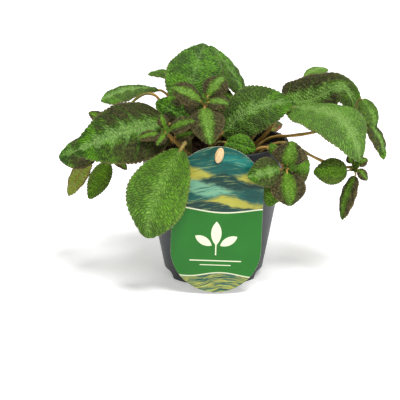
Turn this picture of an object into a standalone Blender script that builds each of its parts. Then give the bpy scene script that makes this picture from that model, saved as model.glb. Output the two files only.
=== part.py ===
"""Flame violet in a round plastic nursery pot, with a label hung on a peg in front.

Metres, +Z up. The origin is under the middle of the whole plant, on the surface that the pot stands on.
The label hangs on the -Y side. Leaves are thin closed blades with a rounded tooth at every
second ring, a midrib that stands out below and furrows along the side veins.
"""

import math
import random
from dataclasses import dataclass

import bmesh
import bpy
from mathutils import Vector

MM = 0.001

# How far the middle of the foliage lies to the right of the pot's axis. Everything below is laid out
# from the pot's axis, and moved by this at the end.
MIDDLE_X = 0.0062

# Pot
POT_HEIGHT = 0.110
RIM_RADIUS = 0.060
RIM_DEPTH = 0.011
WALL_TOP_RADIUS = 0.0582
BASE_RADIUS = 0.0388
POT_WALL = 0.0014
FOOT_WALL = 0.0022
FLOOR_UNDERSIDE = 0.0072
FLOOR_THICKNESS = 0.0016
POT_SIDES = 32
NOTCH_COUNT = 4
NOTCH_WIDTH = 0.043
NOTCH_HEIGHT = 0.0062
NOTCH_CORNER = 0.0042
NOTCH_ARC_STEPS = 4
DRAIN_RADIUS = 0.0042
DRAIN_CIRCLE = 0.026
CENTRE_DRAIN_RADIUS = 0.0060

# Fit between pieces that touch
GAP = 0.0003
STEM_CLEARANCE = 0.0008

# Surfaces that meet at more than this stay sharp
SHARP_ANGLE = math.radians(35.0)

# Potting soil
SOIL_TOP = 0.1000
SOIL_RINGS = 7
SOIL_SIDES = 27
SOIL_BUMP = 0.0016
SOIL_EDGE_DROP = 0.0012
SOIL_SEED = 7

# Label and its peg
LABEL_WIDTH = 0.070
LABEL_HEIGHT = 0.1165
LABEL_THICKNESS = 0.0007
LABEL_FOOT = 0.0018
LABEL_X = 0.0020
LABEL_LEAN = math.radians(2.0)
LABEL_ARC_STEPS = 14
PEG_HEAD = (0.0066, 0.0022, 0.0124)
PEG_HEAD_TURN = math.radians(14.0)
PEG_SHANK_RADIUS = 0.0014
PEG_Z = POT_HEIGHT + PEG_SHANK_RADIUS + GAP
STAKE_Y = -0.0485
STAKE_WIDTH = 0.0050
STAKE_THICKNESS = 0.0016
STAKE_FOOT = 0.072
STAKE_POINT = 0.010
LABEL_FRONT = -(RIM_RADIUS + GAP + LABEL_THICKNESS)
PEG_X = LABEL_X + (PEG_Z - LABEL_FOOT - LABEL_HEIGHT / 2) * math.sin(LABEL_LEAN)

# Leaf blades
BLADE_THICKNESS = 0.0008
MIDRIB_DEPTH = 0.0009
TIP_HALF_WIDTH = 0.0006
BASE_ROUNDNESS = 0.48
TIP_ROUNDNESS = 0.70
TOOTH = 0.030
FURROW = 0.0005
END_INSET = 0.015
END_CROWDING = 0.35
LARGE_RINGS = 12
LARGE_COLUMNS = 6
SMALL_RINGS = 6
SMALL_COLUMNS = 4
TINY_RINGS = 5
TINY_COLUMNS = 2

# Stems
SHOOT_RADIUS = 0.0048
SHOOT_SIDES = 10
SHOOT_TAPER = 0.7
STEM_FOOT = 0.090
SHOOT_SHOULDER = 0.002
STALK_SINK = 0.0004
STALK_SHARE = 0.62
STALK_REACH = 0.38


@dataclass(frozen=True)
class Blade:
    """A leaf blade in millimetres: where it starts and ends, the way its upper side looks, its bends."""

    base: tuple
    tip: tuple
    face: tuple
    width: float
    arch: float = 2.0  # how far the midrib bows out towards the upper side
    crest: float = 1.0  # above 1, that bow is nearer the tip
    sway: float = 0.0  # how far the midrib bows sideways
    skew: float = 0.0  # how far each side leans along the leaf, in widths
    fan: float = 0.0  # how far that lean gives way again up to the tip, in widths
    peak: float = 0.45  # where the blade is widest
    fold: float = 0.10  # how far each half rises from the midrib, in widths
    curl: float = 0.17  # how far the margins turn down again, in widths
    size: str = "small"


@dataclass(frozen=True)
class Leaf:
    """A leaf that grows from a shoot: its blade, where its stalk is seated and how the stalk runs."""

    shoot: str
    height: float
    blade: Blade
    stalk: float = 1.4
    rise: float = 25.0  # degrees that the stalk rises by where it sets off
    ease: float = 0.30  # how far ahead of the blade the stalk already runs its way, in reaches


@dataclass(frozen=True)
class Runner:
    """A leafy stem out of the soil, in millimetres: its way, its radius, its leaves by place on it."""

    way: tuple
    radius: float
    leaves: tuple


DETAIL = {
    "large": (LARGE_RINGS, LARGE_COLUMNS, 4),
    "small": (SMALL_RINGS, SMALL_COLUMNS, 2),
    "tiny": (TINY_RINGS, TINY_COLUMNS, 1),
}

# Where each shoot stands in the soil, and how high its straight part goes, in millimetres
SHOOTS = {
    "centre": ((0.0, 10.0), 118.0),
    "left": ((-22.0, -14.0), 113.0),
    "right": ((24.0, -4.0), 113.0),
}

LEAVES = {
    "leaf_crest": Leaf("centre", 114.0, Blade(
        (-21.6, 12, 134.2), (-7.1, 50, 179.7), (0.0, -0.80, 0.60), 47, arch=11, peak=0.40, size="large")),
    "leaf_behind_crest": Leaf("centre", 111.0, Blade(
        (24.0, 42, 139.0), (-3.0, 60, 176.4), (0.78, -0.30, 0.60), 42, arch=2.5, size="large")),
    "leaf_upper_left": Leaf("centre", 109.0, Blade(
        (-43.6, 30, 144.5), (-91.2, 18, 137.6), (0.0, -0.18, 1.0), 31, arch=5, peak=0.68, size="large"),
        stalk=1.2, ease=0.15),
    "leaf_left": Leaf("left", 106.0, Blade(
        (-35.9, -32, 129.7), (-108.0, -52, 112.0), (-0.10, -0.85, 0.50), 51, arch=10, peak=0.41,
        size="large")),
    "leaf_front": Leaf("left", 105.0, Blade(
        (-25.4, -64, 117.0), (-52.0, -80, 51.6), (-0.10, -0.97, 0.20), 47, arch=7, sway=4, peak=0.56,
        size="large"), rise=35.0, ease=0.2),
    "leaf_right": Leaf("centre", 108.0, Blade(
        (6.5, -8, 116.4), (62.2, -24, 145.9), (-0.10, -0.85, 0.50), 40, arch=7, sway=-6.5, size="large")),
    "leaf_far_right": Leaf("right", 110.0, Blade(
        (59.5, 38, 135.0), (117.5, 25, 123.0), (-0.15, -0.55, 0.83), 44, arch=29, crest=2.2, skew=0.70,
        fan=1.75, peak=0.38, fold=0.12, size="large")),
    "leaf_right_front": Leaf("right", 105.0, Blade(
        (60.8, -10, 139.0), (113.8, -35, 100.9), (0.46, -0.55, 0.69), 53, arch=17, crest=1.2, sway=-4,
        skew=-0.2, peak=0.50, size="large"), ease=0.15),
    "leaf_rear_left": Leaf("centre", 104.0, Blade(
        (-27, 28, 117), (-62, 66, 98), (-0.15, 0.30, 0.90), 44, arch=12, size="large")),
    "leaf_rear": Leaf("centre", 105.0, Blade(
        (2, 38, 116), (-3, 83, 86), (0.0, 0.50, 0.85), 44, arch=13, size="large")),
    "leaf_rear_right": Leaf("right", 103.0, Blade(
        (36, 23, 113), (51, 66, 101), (0.0, 0.15, 1.0), 28, arch=8, size="large")),
    "leaf_small_rear_left": Leaf("centre", 108.0, Blade(
        (-30.9, 54, 150.9), (-54.4, 62, 151.8), (0.0, -0.10, 1.0), 21, arch=3), stalk=1.1),
    "leaf_small_rear_right": Leaf("right", 106.5, Blade(
        (76.7, 66, 148.4), (96.7, 72, 154.1), (0.0, -0.10, 1.0), 22, arch=3), stalk=1.1,
        ease=0.45),
    "leaf_small_front": Leaf("centre", 103.0, Blade(
        (9, -28, 114), (32, -42, 111), (0.0, -0.80, 0.60), 20, arch=3), stalk=1.1),
    "leaf_inner_right": Leaf("centre", 113.5, Blade(
        (-5.0, 19, 120.0), (7, 42, 149.0), (0.15, -0.85, 0.45), 38, arch=4), stalk=1.1),
    "leaf_inner_left": Leaf("left", 110.5, Blade(
        (-16, -4, 124.5), (-46.0, -3, 141.5), (0.0, -0.90, 0.45), 28, arch=3), stalk=1.1),
}

RUNNERS = {
    "shoot_centre": Runner(((0, 10, 118), (-1, 4, 126), (-4, -10, 136), (-7, -25, 143.5)), 1.7, (
        (1.0, Blade((-10.5, -27, 146.5), (-34.1, -36, 158.8), (0.15, -0.70, 0.70), 21, arch=3)),
        (1.0, Blade((-4, -28, 146), (11.1, -36, 145.5), (0.10, -0.60, 0.80), 17)),
        (1.0, Blade((-7.5, -30, 141.7), (-3, -60, 119.5), (0.0, -0.85, 0.50), 27, arch=5)),
        (0.9, Blade((-5.0, -20, 149), (8.6, -8, 162.5), (-0.10, -0.75, 0.65), 20, arch=3)),
    )),
    "shoot_left": Runner(((-22, -14, 113), (-22, -14, 116), (-22, -15, 119), (-22, -16, 120)), 1.7, (
        (0.9, Blade((-24, -20, 121), (-30, -28, 128), (0.1, -0.5, 0.8), 9, arch=1, size="tiny")),
        (0.9, Blade((-18, -18, 121), (-11, -21, 128), (-0.2, -0.6, 0.8), 8, arch=1, size="tiny")),
    )),
    "shoot_right": Runner(((24, -4, 113), (24, -4, 116), (24, -5, 119), (25, -6, 121)), 1.7, (
        (0.9, Blade((28, -6, 123), (38, -3, 128), (-0.2, -0.4, 0.9), 9, arch=1, size="tiny")),
        (0.9, Blade((25, 0, 124), (29, 10, 131), (-0.1, -0.6, 0.8), 9, arch=1, size="tiny")),
    )),
    "offset_left": Runner(
        ((-14.5, -37.5, 103), (-17, -39, 105.5), (-22, -41, 109.5), (-29, -43, 117), (-37, -45, 126)), 1.5, (
            (1.0, Blade((-41.5, -48, 124.5), (-58.2, -57, 123.0), (-0.05, -0.55, 0.85), 12)),
            (1.0, Blade((-34, -46, 128.5), (-14.8, -50, 135.9), (-0.10, -0.75, 0.65), 14)),
            (1.0, Blade((-38, -45, 130), (-41, -45, 140), (0.05, -0.85, 0.35), 9, arch=1, size="tiny")),
            (1.0, Blade((-38, -50, 126), (-44, -59, 119), (0.10, -0.85, 0.40), 9, arch=1, size="tiny")),
            (0.8, Blade((-30, -44, 122), (-14.1, -48, 126.5), (0.0, -0.85, 0.50), 10, arch=1, size="tiny")),
        )),
    "runner_front_right": Runner(
        ((29, -34, 103), (33, -37, 110), (41, -43, 113.3), (49, -50, 107.5), (54, -54, 100)), 1.4, (
            (1.0, Blade((56, -57, 103), (59, -62, 122.9), (0.05, -0.95, 0.30), 26, arch=3)),
            (1.0, Blade((50.5, -58, 100.1), (25, -70, 97.0), (-0.15, -0.95, 0.20), 23, arch=3)),
            (1.0, Blade((55.5, -60, 98), (57.5, -68, 73.5), (0.05, -0.95, 0.10), 27, arch=3, peak=0.5)),
            (0.95, Blade((60, -53, 100), (74, -40, 97), (0.80, -0.55, 0.10), 27, arch=3)),
            (0.95, Blade((48.5, -56, 92), (41.2, -61, 71.1), (-0.10, -0.95, 0.10), 17)),
            (0.75, Blade((47.4, -50, 110), (43.2, -49, 118), (0.0, -0.90, 0.30), 8, arch=1, size="tiny")),
            (1.0, Blade((57, -60, 101), (62.5, -65, 104), (-0.2, -0.9, 0.3), 6, arch=0.5, size="tiny")),
        )),
    "runner_right": Runner(
        ((36, -18, 103), (43, -22, 109.5), (53, -27, 113.8), (64, -30, 111.0), (76, -30, 104), (88, -28, 98),
         (101, -26, 94), (110, -23, 93)), 1.2, (
            (0.97, Blade((104.5, -29, 91.5), (77.8, -33, 91.5), (0.0, -1.0, 0.15), 21)),
            (1.0, Blade((111.5, -24, 86), (101.6, -28, 51.1), (-0.86, -0.50, 0.20), 19)),
            (1.0, Blade((113, -22, 95), (121.5, -20, 98.5), (0.0, -0.7, 0.7), 9, arch=1, size="tiny")),
            (1.0, Blade((114, -23, 91), (121, -24, 82.5), (0.3, -0.8, 0.5), 9, arch=1, size="tiny")),
            (1.0, Blade((109, -22, 96), (106, -21, 102.5), (-0.2, -0.8, 0.4), 7, arch=1, size="tiny")),
        )),
    "runner_far_right": Runner(
        ((36, 10, 103), (43, 9, 108.0), (50, 6, 111.2), (61, 2, 112.8), (77, 2, 115.0), (97, 3, 120),
         (112, 4, 127)), 1.3, (
            (1.0, Blade((118.0, 3, 142.0), (129.0, 4, 115.5), (0.60, -0.62, 0.50), 21, arch=4)),
            (1.0, Blade((121, 1, 125), (136.2, -6, 95.0), (0.70, -0.45, 0.40), 21, arch=4)),
            (1.0, Blade((112, 9, 121), (110, 20, 104), (0.1, 0.8, 0.3), 18, arch=3)),
            (1.0, Blade((112, -1, 121), (110, -8, 112), (0.1, -0.8, 0.3), 9, arch=1, size="tiny")),
        )),
    "runner_far_left": Runner(
        ((-36, 12, 103), (-38, 13, 116), (-41, 11, 134), (-46, 5, 144.5), (-54, 4, 146.6), (-63, 4, 141.6),
         (-74, 4, 128), (-82, 4, 113), (-86, 3, 103)), 1.2, (
            (1.0, Blade((-94, 7, 97.5), (-125.4, 9, 93.6), (-0.20, -0.55, 0.80), 34, arch=4)),
            (1.0, Blade((-101, 9, 92), (-117.5, 3, 62.5), (-0.60, 0.75, 0.25), 19)),
            (1.0, Blade((-84.5, -4, 92), (-99.8, -12, 64.0), (-0.10, -0.95, 0.25), 17)),
            (1.0, Blade((-78, 2, 94), (-70, 0, 85), (0.3, -0.8, 0.4), 7, arch=1, size="tiny")),
            (0.94, Blade((-87, 12, 123), (-101.0, 16, 128.9), (-0.10, -0.65, 0.60), 10, arch=1, size="tiny")),
        )),
    "runner_rear_left": Runner(
        ((-34, 28, 103), (-39, 31, 109.5), (-49, 35, 113.5), (-60, 38, 108), (-68, 40, 97)), 1.3, (
            (1.0, Blade((-73, 44, 98), (-90, 58, 108), (-0.55, 0.65, 0.45), 20, arch=3)),
            (1.0, Blade((-72, 37, 96), (-92, 26, 99), (-0.80, 0.30, 0.45), 19, arch=3)),
            (1.0, Blade((-72, 44, 92), (-78, 54, 74), (-0.65, 0.65, 0.20), 20, arch=3)),
            (1.0, Blade((-66, 46, 94), (-60, 60, 84), (0.0, 0.85, 0.40), 11, arch=1, size="tiny")),
        )),
    "runner_rear_right": Runner(
        ((14, 34, 103), (18, 41, 110.0), (23, 53, 114.0), (29, 62, 108), (35, 68, 97), (37, 70, 89)), 1.3, (
            (1.0, Blade((32, 74, 90), (16, 80, 98), (0.0, 0.80, 0.60), 19, arch=2)),
            (1.0, Blade((42, 72, 90), (60, 66, 98), (0.45, 0.75, 0.40), 19, arch=2)),
            (1.0, Blade((38, 75, 85), (44, 81, 62), (0.10, 0.95, 0.15), 22, arch=2)),
            (1.0, Blade((33, 73, 84), (22, 78, 73), (-0.30, 0.90, 0.10), 12, arch=1, size="tiny")),
        )),
}

COLOURS = {
    "pot_plastic": ((0.045, 0.050, 0.058), 0.45),
    "soil": ((0.035, 0.022, 0.014), 0.95),
    "label_print": ((0.05, 0.30, 0.12), 0.35),
    "peg_wood": ((0.80, 0.56, 0.33), 0.60),
    "leaf_green": ((0.10, 0.26, 0.05), 0.65),
    "leaf_copper": ((0.13, 0.17, 0.06), 0.65),
    "stem": ((0.30, 0.20, 0.07), 0.55),
}


def clear_scene():
    for obj in list(bpy.data.objects):
        bpy.data.objects.remove(obj)


def material(name):
    found = bpy.data.materials.get(name)
    if found:
        return found
    made = bpy.data.materials.new(name)
    made.use_nodes = True
    colour, roughness = COLOURS[name]
    shader = made.node_tree.nodes["Principled BSDF"]
    shader.inputs["Base Color"].default_value = (*colour, 1.0)
    shader.inputs["Roughness"].default_value = roughness
    shader.inputs["Metallic"].default_value = 0.0
    return made


def shade(mesh):
    """Smooth where the surface is round, sharp where it turns a corner."""
    mesh.shade_smooth()
    mesh.set_sharp_from_angle(angle=SHARP_ANGLE)


def add_object(name, bm, colour):
    """One object from a finished mesh, moved so that the plant's middle is over the origin."""
    mesh = bpy.data.meshes.new(name)
    bmesh.ops.recalc_face_normals(bm, faces=bm.faces)
    bm.to_mesh(mesh)
    bm.free()
    shade(mesh)
    obj = bpy.data.objects.new(name, mesh)
    obj.location.x = -MIDDLE_X
    bpy.context.scene.collection.objects.link(obj)
    obj.data.materials.append(material(colour))
    return obj


def boolean(target, others, operation):
    """Joins or cuts target with other objects, applies it, and removes them."""
    tools = bpy.data.collections.new("tools")
    bpy.context.scene.collection.children.link(tools)
    for other in others:
        tools.objects.link(other)
    modifier = target.modifiers.new(operation.lower(), "BOOLEAN")
    modifier.operation = operation
    modifier.solver = "EXACT"
    modifier.operand_type = "COLLECTION"
    modifier.collection = tools
    graph = bpy.context.evaluated_depsgraph_get()
    result = bpy.data.meshes.new_from_object(target.evaluated_get(graph))
    target.modifiers.clear()
    shade(result)
    target.data = result
    for other in others:
        bpy.data.objects.remove(other)
    bpy.data.collections.remove(tools)
    return target


def turned(profile, sides):
    """A closed outline of (radius, height) points turned round the Z axis."""
    bm = bmesh.new()
    ring = [bm.verts.new((radius, 0.0, height)) for radius, height in profile]
    edges = [bm.edges.new((a, b)) for a, b in zip(ring, ring[1:] + ring[:1])]
    bmesh.ops.spin(bm, geom=ring + edges, cent=(0, 0, 0), axis=(0, 0, 1), angle=math.tau, steps=sides,
                   use_merge=True)
    bmesh.ops.remove_doubles(bm, verts=bm.verts, dist=1e-6)
    return bm


def prism(outline, axis, start, end):
    """A flat outline (two numbers a point) pushed along Y or Z from start to end."""
    def place(a, b, along):
        return (a, along, b) if axis == "Y" else (a, b, along)

    bm = bmesh.new()
    face = bm.faces.new([bm.verts.new(place(a, b, start)) for a, b in outline])
    pushed = bmesh.ops.extrude_face_region(bm, geom=[face])["geom"]
    moved = [part for part in pushed if isinstance(part, bmesh.types.BMVert)]
    bmesh.ops.translate(bm, vec=Vector(place(0, 0, end - start)), verts=moved)
    return bm


def circle(radius, sides, centre=(0.0, 0.0)):
    turns = [math.tau * k / sides for k in range(sides)]
    return [(centre[0] + radius * math.cos(turn), centre[1] + radius * math.sin(turn)) for turn in turns]


# Pot


def wall_radius(height):
    """The outer radius of the tapered wall at a height."""
    return BASE_RADIUS + (WALL_TOP_RADIUS - BASE_RADIUS) * height / (POT_HEIGHT - RIM_DEPTH)


def pot_profile():
    shoulder = POT_HEIGHT - RIM_DEPTH
    floor = FLOOR_UNDERSIDE + FLOOR_THICKNESS
    round_edge = 0.0010
    return [
        (wall_radius(0.0), 0.0),
        (wall_radius(shoulder), shoulder),
        (RIM_RADIUS - 0.3 * round_edge, shoulder + 0.8 * round_edge),
        (RIM_RADIUS, POT_HEIGHT - round_edge),
        (RIM_RADIUS - round_edge, POT_HEIGHT),
        (WALL_TOP_RADIUS - POT_WALL + round_edge, POT_HEIGHT),
        (WALL_TOP_RADIUS - POT_WALL, POT_HEIGHT - round_edge),
        (wall_radius(shoulder) - POT_WALL, shoulder),
        (wall_radius(floor) - POT_WALL, floor),
        (CENTRE_DRAIN_RADIUS, floor),
        (CENTRE_DRAIN_RADIUS, FLOOR_UNDERSIDE),
        (wall_radius(FLOOR_UNDERSIDE) - FOOT_WALL, FLOOR_UNDERSIDE),
        (wall_radius(0.0) - FOOT_WALL, 0.0),
    ]


def notch_cutter(index):
    """An arch that opens the foot ring, so that the feet stand between four of them."""
    half, below = NOTCH_WIDTH / 2, -0.002
    outline = [(-half, below), (half, below)]
    for side, start in ((1, 0.0), (-1, 90.0)):
        x, z = side * (half - NOTCH_CORNER), NOTCH_HEIGHT - NOTCH_CORNER
        for step in range(NOTCH_ARC_STEPS + 1):
            turn = math.radians(start + 90.0 * step / NOTCH_ARC_STEPS)
            outline.append((x + NOTCH_CORNER * math.cos(turn), z + NOTCH_CORNER * math.sin(turn)))
    arch = prism(outline, "Y", 0.4 * BASE_RADIUS, 1.2 * BASE_RADIUS)
    obj = add_object(f"notch_cutter_{index}", arch, "soil")
    obj.rotation_euler.z = math.tau * index / NOTCH_COUNT
    return obj


def drain_cutter(index):
    turn = math.tau * (index + 0.5) / NOTCH_COUNT
    centre = (DRAIN_CIRCLE * math.cos(turn), DRAIN_CIRCLE * math.sin(turn))
    hole = prism(circle(DRAIN_RADIUS, 12, centre), "Z", 0.5 * FLOOR_UNDERSIDE, 1.5 * FLOOR_UNDERSIDE)
    return add_object(f"drain_cutter_{index}", hole, "soil")


def make_pot():
    pot = add_object("pot", turned(pot_profile(), POT_SIDES), "pot_plastic")
    cutters = [notch_cutter(k) for k in range(NOTCH_COUNT)] + [drain_cutter(k) for k in range(NOTCH_COUNT)]
    return boolean(pot, cutters, "DIFFERENCE")


# Soil


def ring_edges(bm, ring):
    """The edges round a ring of points, made where they are missing."""
    return [bm.edges.get(pair) or bm.edges.new(pair) for pair in zip(ring, ring[1:] + ring[:1])]


def bridge(bm, near, far):
    bmesh.ops.bridge_loops(bm, edges=ring_edges(bm, near) + ring_edges(bm, far))


def soil_radius(height):
    return wall_radius(height) - POT_WALL - 2 * GAP


def make_soil():
    """A plug that fills the pot, lumpy on top, with a plain hole for every stem and for the peg."""
    draw = random.Random(SOIL_SEED)
    floor = FLOOR_UNDERSIDE + FLOOR_THICKNESS + GAP
    bm = bmesh.new()
    rings = []
    for i in range(1, SOIL_RINGS + 1):
        share = i / SOIL_RINGS
        top = SOIL_TOP - SOIL_EDGE_DROP * share ** 4
        bump = SOIL_BUMP if i < SOIL_RINGS else 0.0
        outline = circle(soil_radius(top) * share, SOIL_SIDES)
        if i < 3:
            outline = outline[::3]
        rings.append([bm.verts.new((x, y, top + draw.uniform(-bump, bump))) for x, y in outline])
    bm.faces.new(rings[0])
    for inner, outer in zip(rings, rings[1:]):
        bridge(bm, inner, outer)
    bottom = [bm.verts.new((x, y, floor)) for x, y in circle(soil_radius(floor), SOIL_SIDES)]
    bridge(bm, rings[-1], bottom)
    bm.faces.new(bottom)
    bmesh.ops.triangulate(bm, faces=bm.faces)
    return boolean(add_object("soil", bm, "soil"), soil_cutters(), "DIFFERENCE")


def soil_cutters():
    top = SOIL_TOP + 0.010
    holes = {}
    for name, ((x, y), _) in SHOOTS.items():
        holes[name] = prism(circle(SHOOT_RADIUS + STEM_CLEARANCE, SHOOT_SIDES, (x * MM, y * MM)), "Z",
                            STEM_FOOT - GAP, top)
    for name, runner in RUNNERS.items():
        if not name.startswith("shoot"):
            x, y, _ = runner.way[0]
            holes[name] = prism(circle(runner.radius * MM + STEM_CLEARANCE, 8, (x * MM, y * MM)), "Z",
                                STEM_FOOT - GAP, top)
    half, deep = STAKE_WIDTH / 2 + 2 * GAP, STAKE_THICKNESS / 2 + 2 * GAP
    slot = [(PEG_X + a * half, STAKE_Y + b * deep) for a, b in ((-1, -1), (1, -1), (1, 1), (-1, 1))]
    holes["peg"] = prism(slot, "Z", STAKE_FOOT - GAP, top)
    return [add_object(f"hole_{name}", hole, "soil") for name, hole in holes.items()]


# Label and peg


def label_outline():
    """A tall outline with two round ends, leaned a little in its own plane."""
    radius, straight = LABEL_WIDTH / 2, LABEL_HEIGHT - LABEL_WIDTH
    middle = LABEL_FOOT + LABEL_HEIGHT / 2
    points = []
    for end, start in ((1, 0.0), (-1, 180.0)):
        for step in range(LABEL_ARC_STEPS + 1):
            turn = math.radians(start + 180.0 * step / LABEL_ARC_STEPS)
            points.append((radius * math.cos(turn), end * straight / 2 + radius * math.sin(turn)))
    cos, sin = math.cos(LABEL_LEAN), math.sin(LABEL_LEAN)
    return [(LABEL_X + x * cos + z * sin, middle + z * cos - x * sin) for x, z in points]


def make_label():
    sheet = prism(label_outline(), "Y", LABEL_FRONT, LABEL_FRONT + LABEL_THICKNESS)
    rim = circle(PEG_SHANK_RADIUS + GAP, 16, (PEG_X, PEG_Z))
    hole = add_object("label_hole", prism(rim, "Y", 1.1 * LABEL_FRONT, 0.9 * LABEL_FRONT), "soil")
    return boolean(add_object("label", sheet, "label_print"), [hole], "DIFFERENCE")


def peg_head():
    """An oval button with a rounded front."""
    width, depth, height = PEG_HEAD
    back = LABEL_FRONT - GAP
    cos, sin = math.cos(PEG_HEAD_TURN), math.sin(PEG_HEAD_TURN)
    bm = bmesh.new()
    rings = []
    for inset, share in ((0.88, 0.0), (1.0, 0.25), (0.86, 0.75), (0.55, 1.0)):
        oval = [(inset * width / 2 * a, inset * height / 2 * b) for a, b in circle(1.0, 20)]
        rings.append([
            bm.verts.new((PEG_X + x * cos + z * sin, back - share * depth, PEG_Z + z * cos - x * sin))
            for x, z in oval
        ])
    for near, far in zip(rings, rings[1:]):
        bridge(bm, near, far)
    bm.faces.new(rings[0])
    bm.faces.new(rings[-1])
    return bm


def make_peg():
    """A flat stake in the soil, with a round shank over the rim and an oval head before the label."""
    half, deep = STAKE_WIDTH / 2, STAKE_THICKNESS / 2
    top = PEG_Z + PEG_SHANK_RADIUS
    outline = [(PEG_X, STAKE_FOOT), (PEG_X + half, STAKE_FOOT + STAKE_POINT), (PEG_X + half, top),
               (PEG_X - half, top), (PEG_X - half, STAKE_FOOT + STAKE_POINT)]
    stake = add_object("label_peg", prism(outline, "Y", STAKE_Y - deep, STAKE_Y + deep), "peg_wood")
    inside_head = LABEL_FRONT - GAP - PEG_HEAD[1] / 2
    shank = prism(circle(PEG_SHANK_RADIUS, 12, (PEG_X, PEG_Z)), "Y", inside_head, STAKE_Y)
    added = [add_object("shank", shank, "peg_wood"), add_object("head", peg_head(), "peg_wood")]
    return boolean(stake, added, "UNION")


# Every stem and leaf is a row of rings skinned together


def round_ring(centre, side, up, radius, columns):
    """A round ring with as many points as a blade's ring: its upper row, then its lower row back."""
    count = columns + 1
    turns = [math.pi * (1 - (k + 0.5) / count) for k in range(count)]
    upper = [centre + radius * (side * math.cos(turn) + up * math.sin(turn)) for turn in turns]
    lower = [centre + radius * (side * math.cos(turn) - up * math.sin(turn)) for turn in turns]
    return upper + lower[::-1]


def skin(bm, rings, columns):
    """Triangles between the rings, cut the same way above and below, and a cap at each end."""
    count = columns + 1
    verts = [[bm.verts.new(point) for point in ring] for ring in rings]
    for near, far in zip(verts, verts[1:]):
        for k in range(2 * count):
            n = (k + 1) % (2 * count)
            a, b, c, d = near[k], near[n], far[n], far[k]
            first, second = ((a, b, c), (a, c, d)) if k < count else ((a, b, d), (b, c, d))
            bm.faces.new(first)
            bm.faces.new(second)
    for ring in (verts[0], verts[-1]):
        for k in range(columns):
            low = 2 * count - 1 - k
            bm.faces.new((ring[k], ring[k + 1], ring[low - 1]))
            bm.faces.new((ring[k], ring[low - 1], ring[low]))


def blade_frame(blade):
    """The blade's straight length, and its directions: along, to its side, and up from its face."""
    line = (Vector(blade.tip) - Vector(blade.base)) * MM
    along = line.normalized()
    face = Vector(blade.face)
    up = (face - along * face.dot(along)).normalized()
    return line.length, along, along.cross(up), up


def midrib(blade, t):
    length, along, side, up = blade_frame(blade)
    bow = math.sin(math.pi * t ** blade.crest) * blade.arch * MM
    sway = math.sin(math.pi * t) * blade.sway * MM
    return Vector(blade.base) * MM + along * length * t + up * bow + side * sway


def midrib_direction(blade, t):
    step = 0.01
    return (midrib(blade, min(t + step, 1.0)) - midrib(blade, max(t - step, 0.0))).normalized()


def half_width(blade, t):
    """Rounded at the base, widest at the blade's peak, and bluntly pointed."""
    power = math.log(0.5) / math.log(blade.peak)
    roundness = BASE_ROUNDNESS if t < blade.peak else TIP_ROUNDNESS
    return blade.width * MM / 2 * math.sin(math.pi * t ** power) ** roundness


def relief(blade, half, t, v, crest):
    """How far a point of the blade lies above its midrib, at v from -1 to 1 across."""
    bend = 2 * half * (blade.fold * abs(v) - blade.curl * v * v)
    furrow = FURROW * crest * math.sin(math.pi * abs(v)) * min(1.0, 8 * t * (1 - t))
    return bend + furrow


def blade_rings(blade):
    count, columns, _ = DETAIL[blade.size]
    _, along, straight_side, _ = blade_frame(blade)
    rings = []
    for i in range(count + 1):
        even = i / count
        crowded = (1 - math.cos(math.pi * even)) / 2
        t = END_INSET + (1 - 2 * END_INSET) * (even + END_CROWDING * (crowded - even))
        crest = 1 if i % 2 else -1
        half = max(half_width(blade, t) * (1 + TOOTH * crest), TIP_HALF_WIDTH)
        side = straight_side + along * (blade.skew - blade.fan * t ** 3)
        up = side.cross(midrib_direction(blade, t)).normalized()
        rib = MIDRIB_DEPTH * (1 - t)
        upper, lower = [], []
        for j in range(columns + 1):
            v = 2 * j / columns - 1
            point = midrib(blade, t) + side * half * v + up * relief(blade, half, t, v, crest)
            upper.append(point + up * BLADE_THICKNESS / 2)
            lower.append(point - up * (BLADE_THICKNESS / 2 + (rib if v == 0 else 0.0)))
        rings.append(upper + lower[::-1])
    return rings


def bezier(hull, s):
    a, b, c, d = hull
    r = 1 - s
    return a * r ** 3 + b * 3 * r * r * s + c * 3 * r * s * s + d * s ** 3


def leaf_loft(blade, start, heading, radius, ease):
    """A stalk from start, setting off along heading, that widens into its blade."""
    _, columns, stalk_rings = DETAIL[blade.size]
    base = midrib(blade, 0.0)
    reach = (base - start).length
    last_handle = base - midrib_direction(blade, 0.0) * reach * ease
    hull = (start, start + heading * reach * STALK_REACH, last_handle, base)
    _, _, side, _ = blade_frame(blade)
    rings = []
    for i in range(stalk_rings):
        s = i / stalk_rings
        direction = (bezier(hull, s + 0.02) - bezier(hull, max(s - 0.02, 0.0))).normalized()
        across = (side - direction * side.dot(direction)).normalized()
        rings.append(round_ring(bezier(hull, s), across, across.cross(direction), radius, columns))
    bm = bmesh.new()
    skin(bm, rings + blade_rings(blade), columns)
    return bm


def make_leaf(name, leaf):
    """A leaf whose stalk starts a hair clear of the shoot that it grows from."""
    (x, y), _ = SHOOTS[leaf.shoot]
    radius = leaf.stalk * MM
    rise = math.radians(leaf.rise)
    out = Vector((leaf.blade.base[0] - x, leaf.blade.base[1] - y, 0)).normalized()
    start = Vector((x, y, leaf.height)) * MM + out * (SHOOT_RADIUS + GAP + radius * math.sin(rise))
    heading = out * math.cos(rise) + Vector((0, 0, math.sin(rise)))
    return add_object(name, leaf_loft(leaf.blade, start, heading, radius, leaf.ease), "leaf_green")


def smooth_way(points, per_span):
    """Points on a smooth curve through the given ones."""
    ends = [points[0] * 2 - points[1]] + points + [points[-1] * 2 - points[-2]]
    curve = []
    for p0, p1, p2, p3 in zip(ends, ends[1:], ends[2:], ends[3:]):
        for k in range(per_span):
            t = k / per_span
            curve.append(0.5 * (2 * p1 + (p2 - p0) * t + (2 * p0 - 5 * p1 + 4 * p2 - p3) * t * t
                                + (3 * p1 - p0 - 3 * p2 + p3) * t ** 3))
    return curve + [points[-1]]


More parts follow.
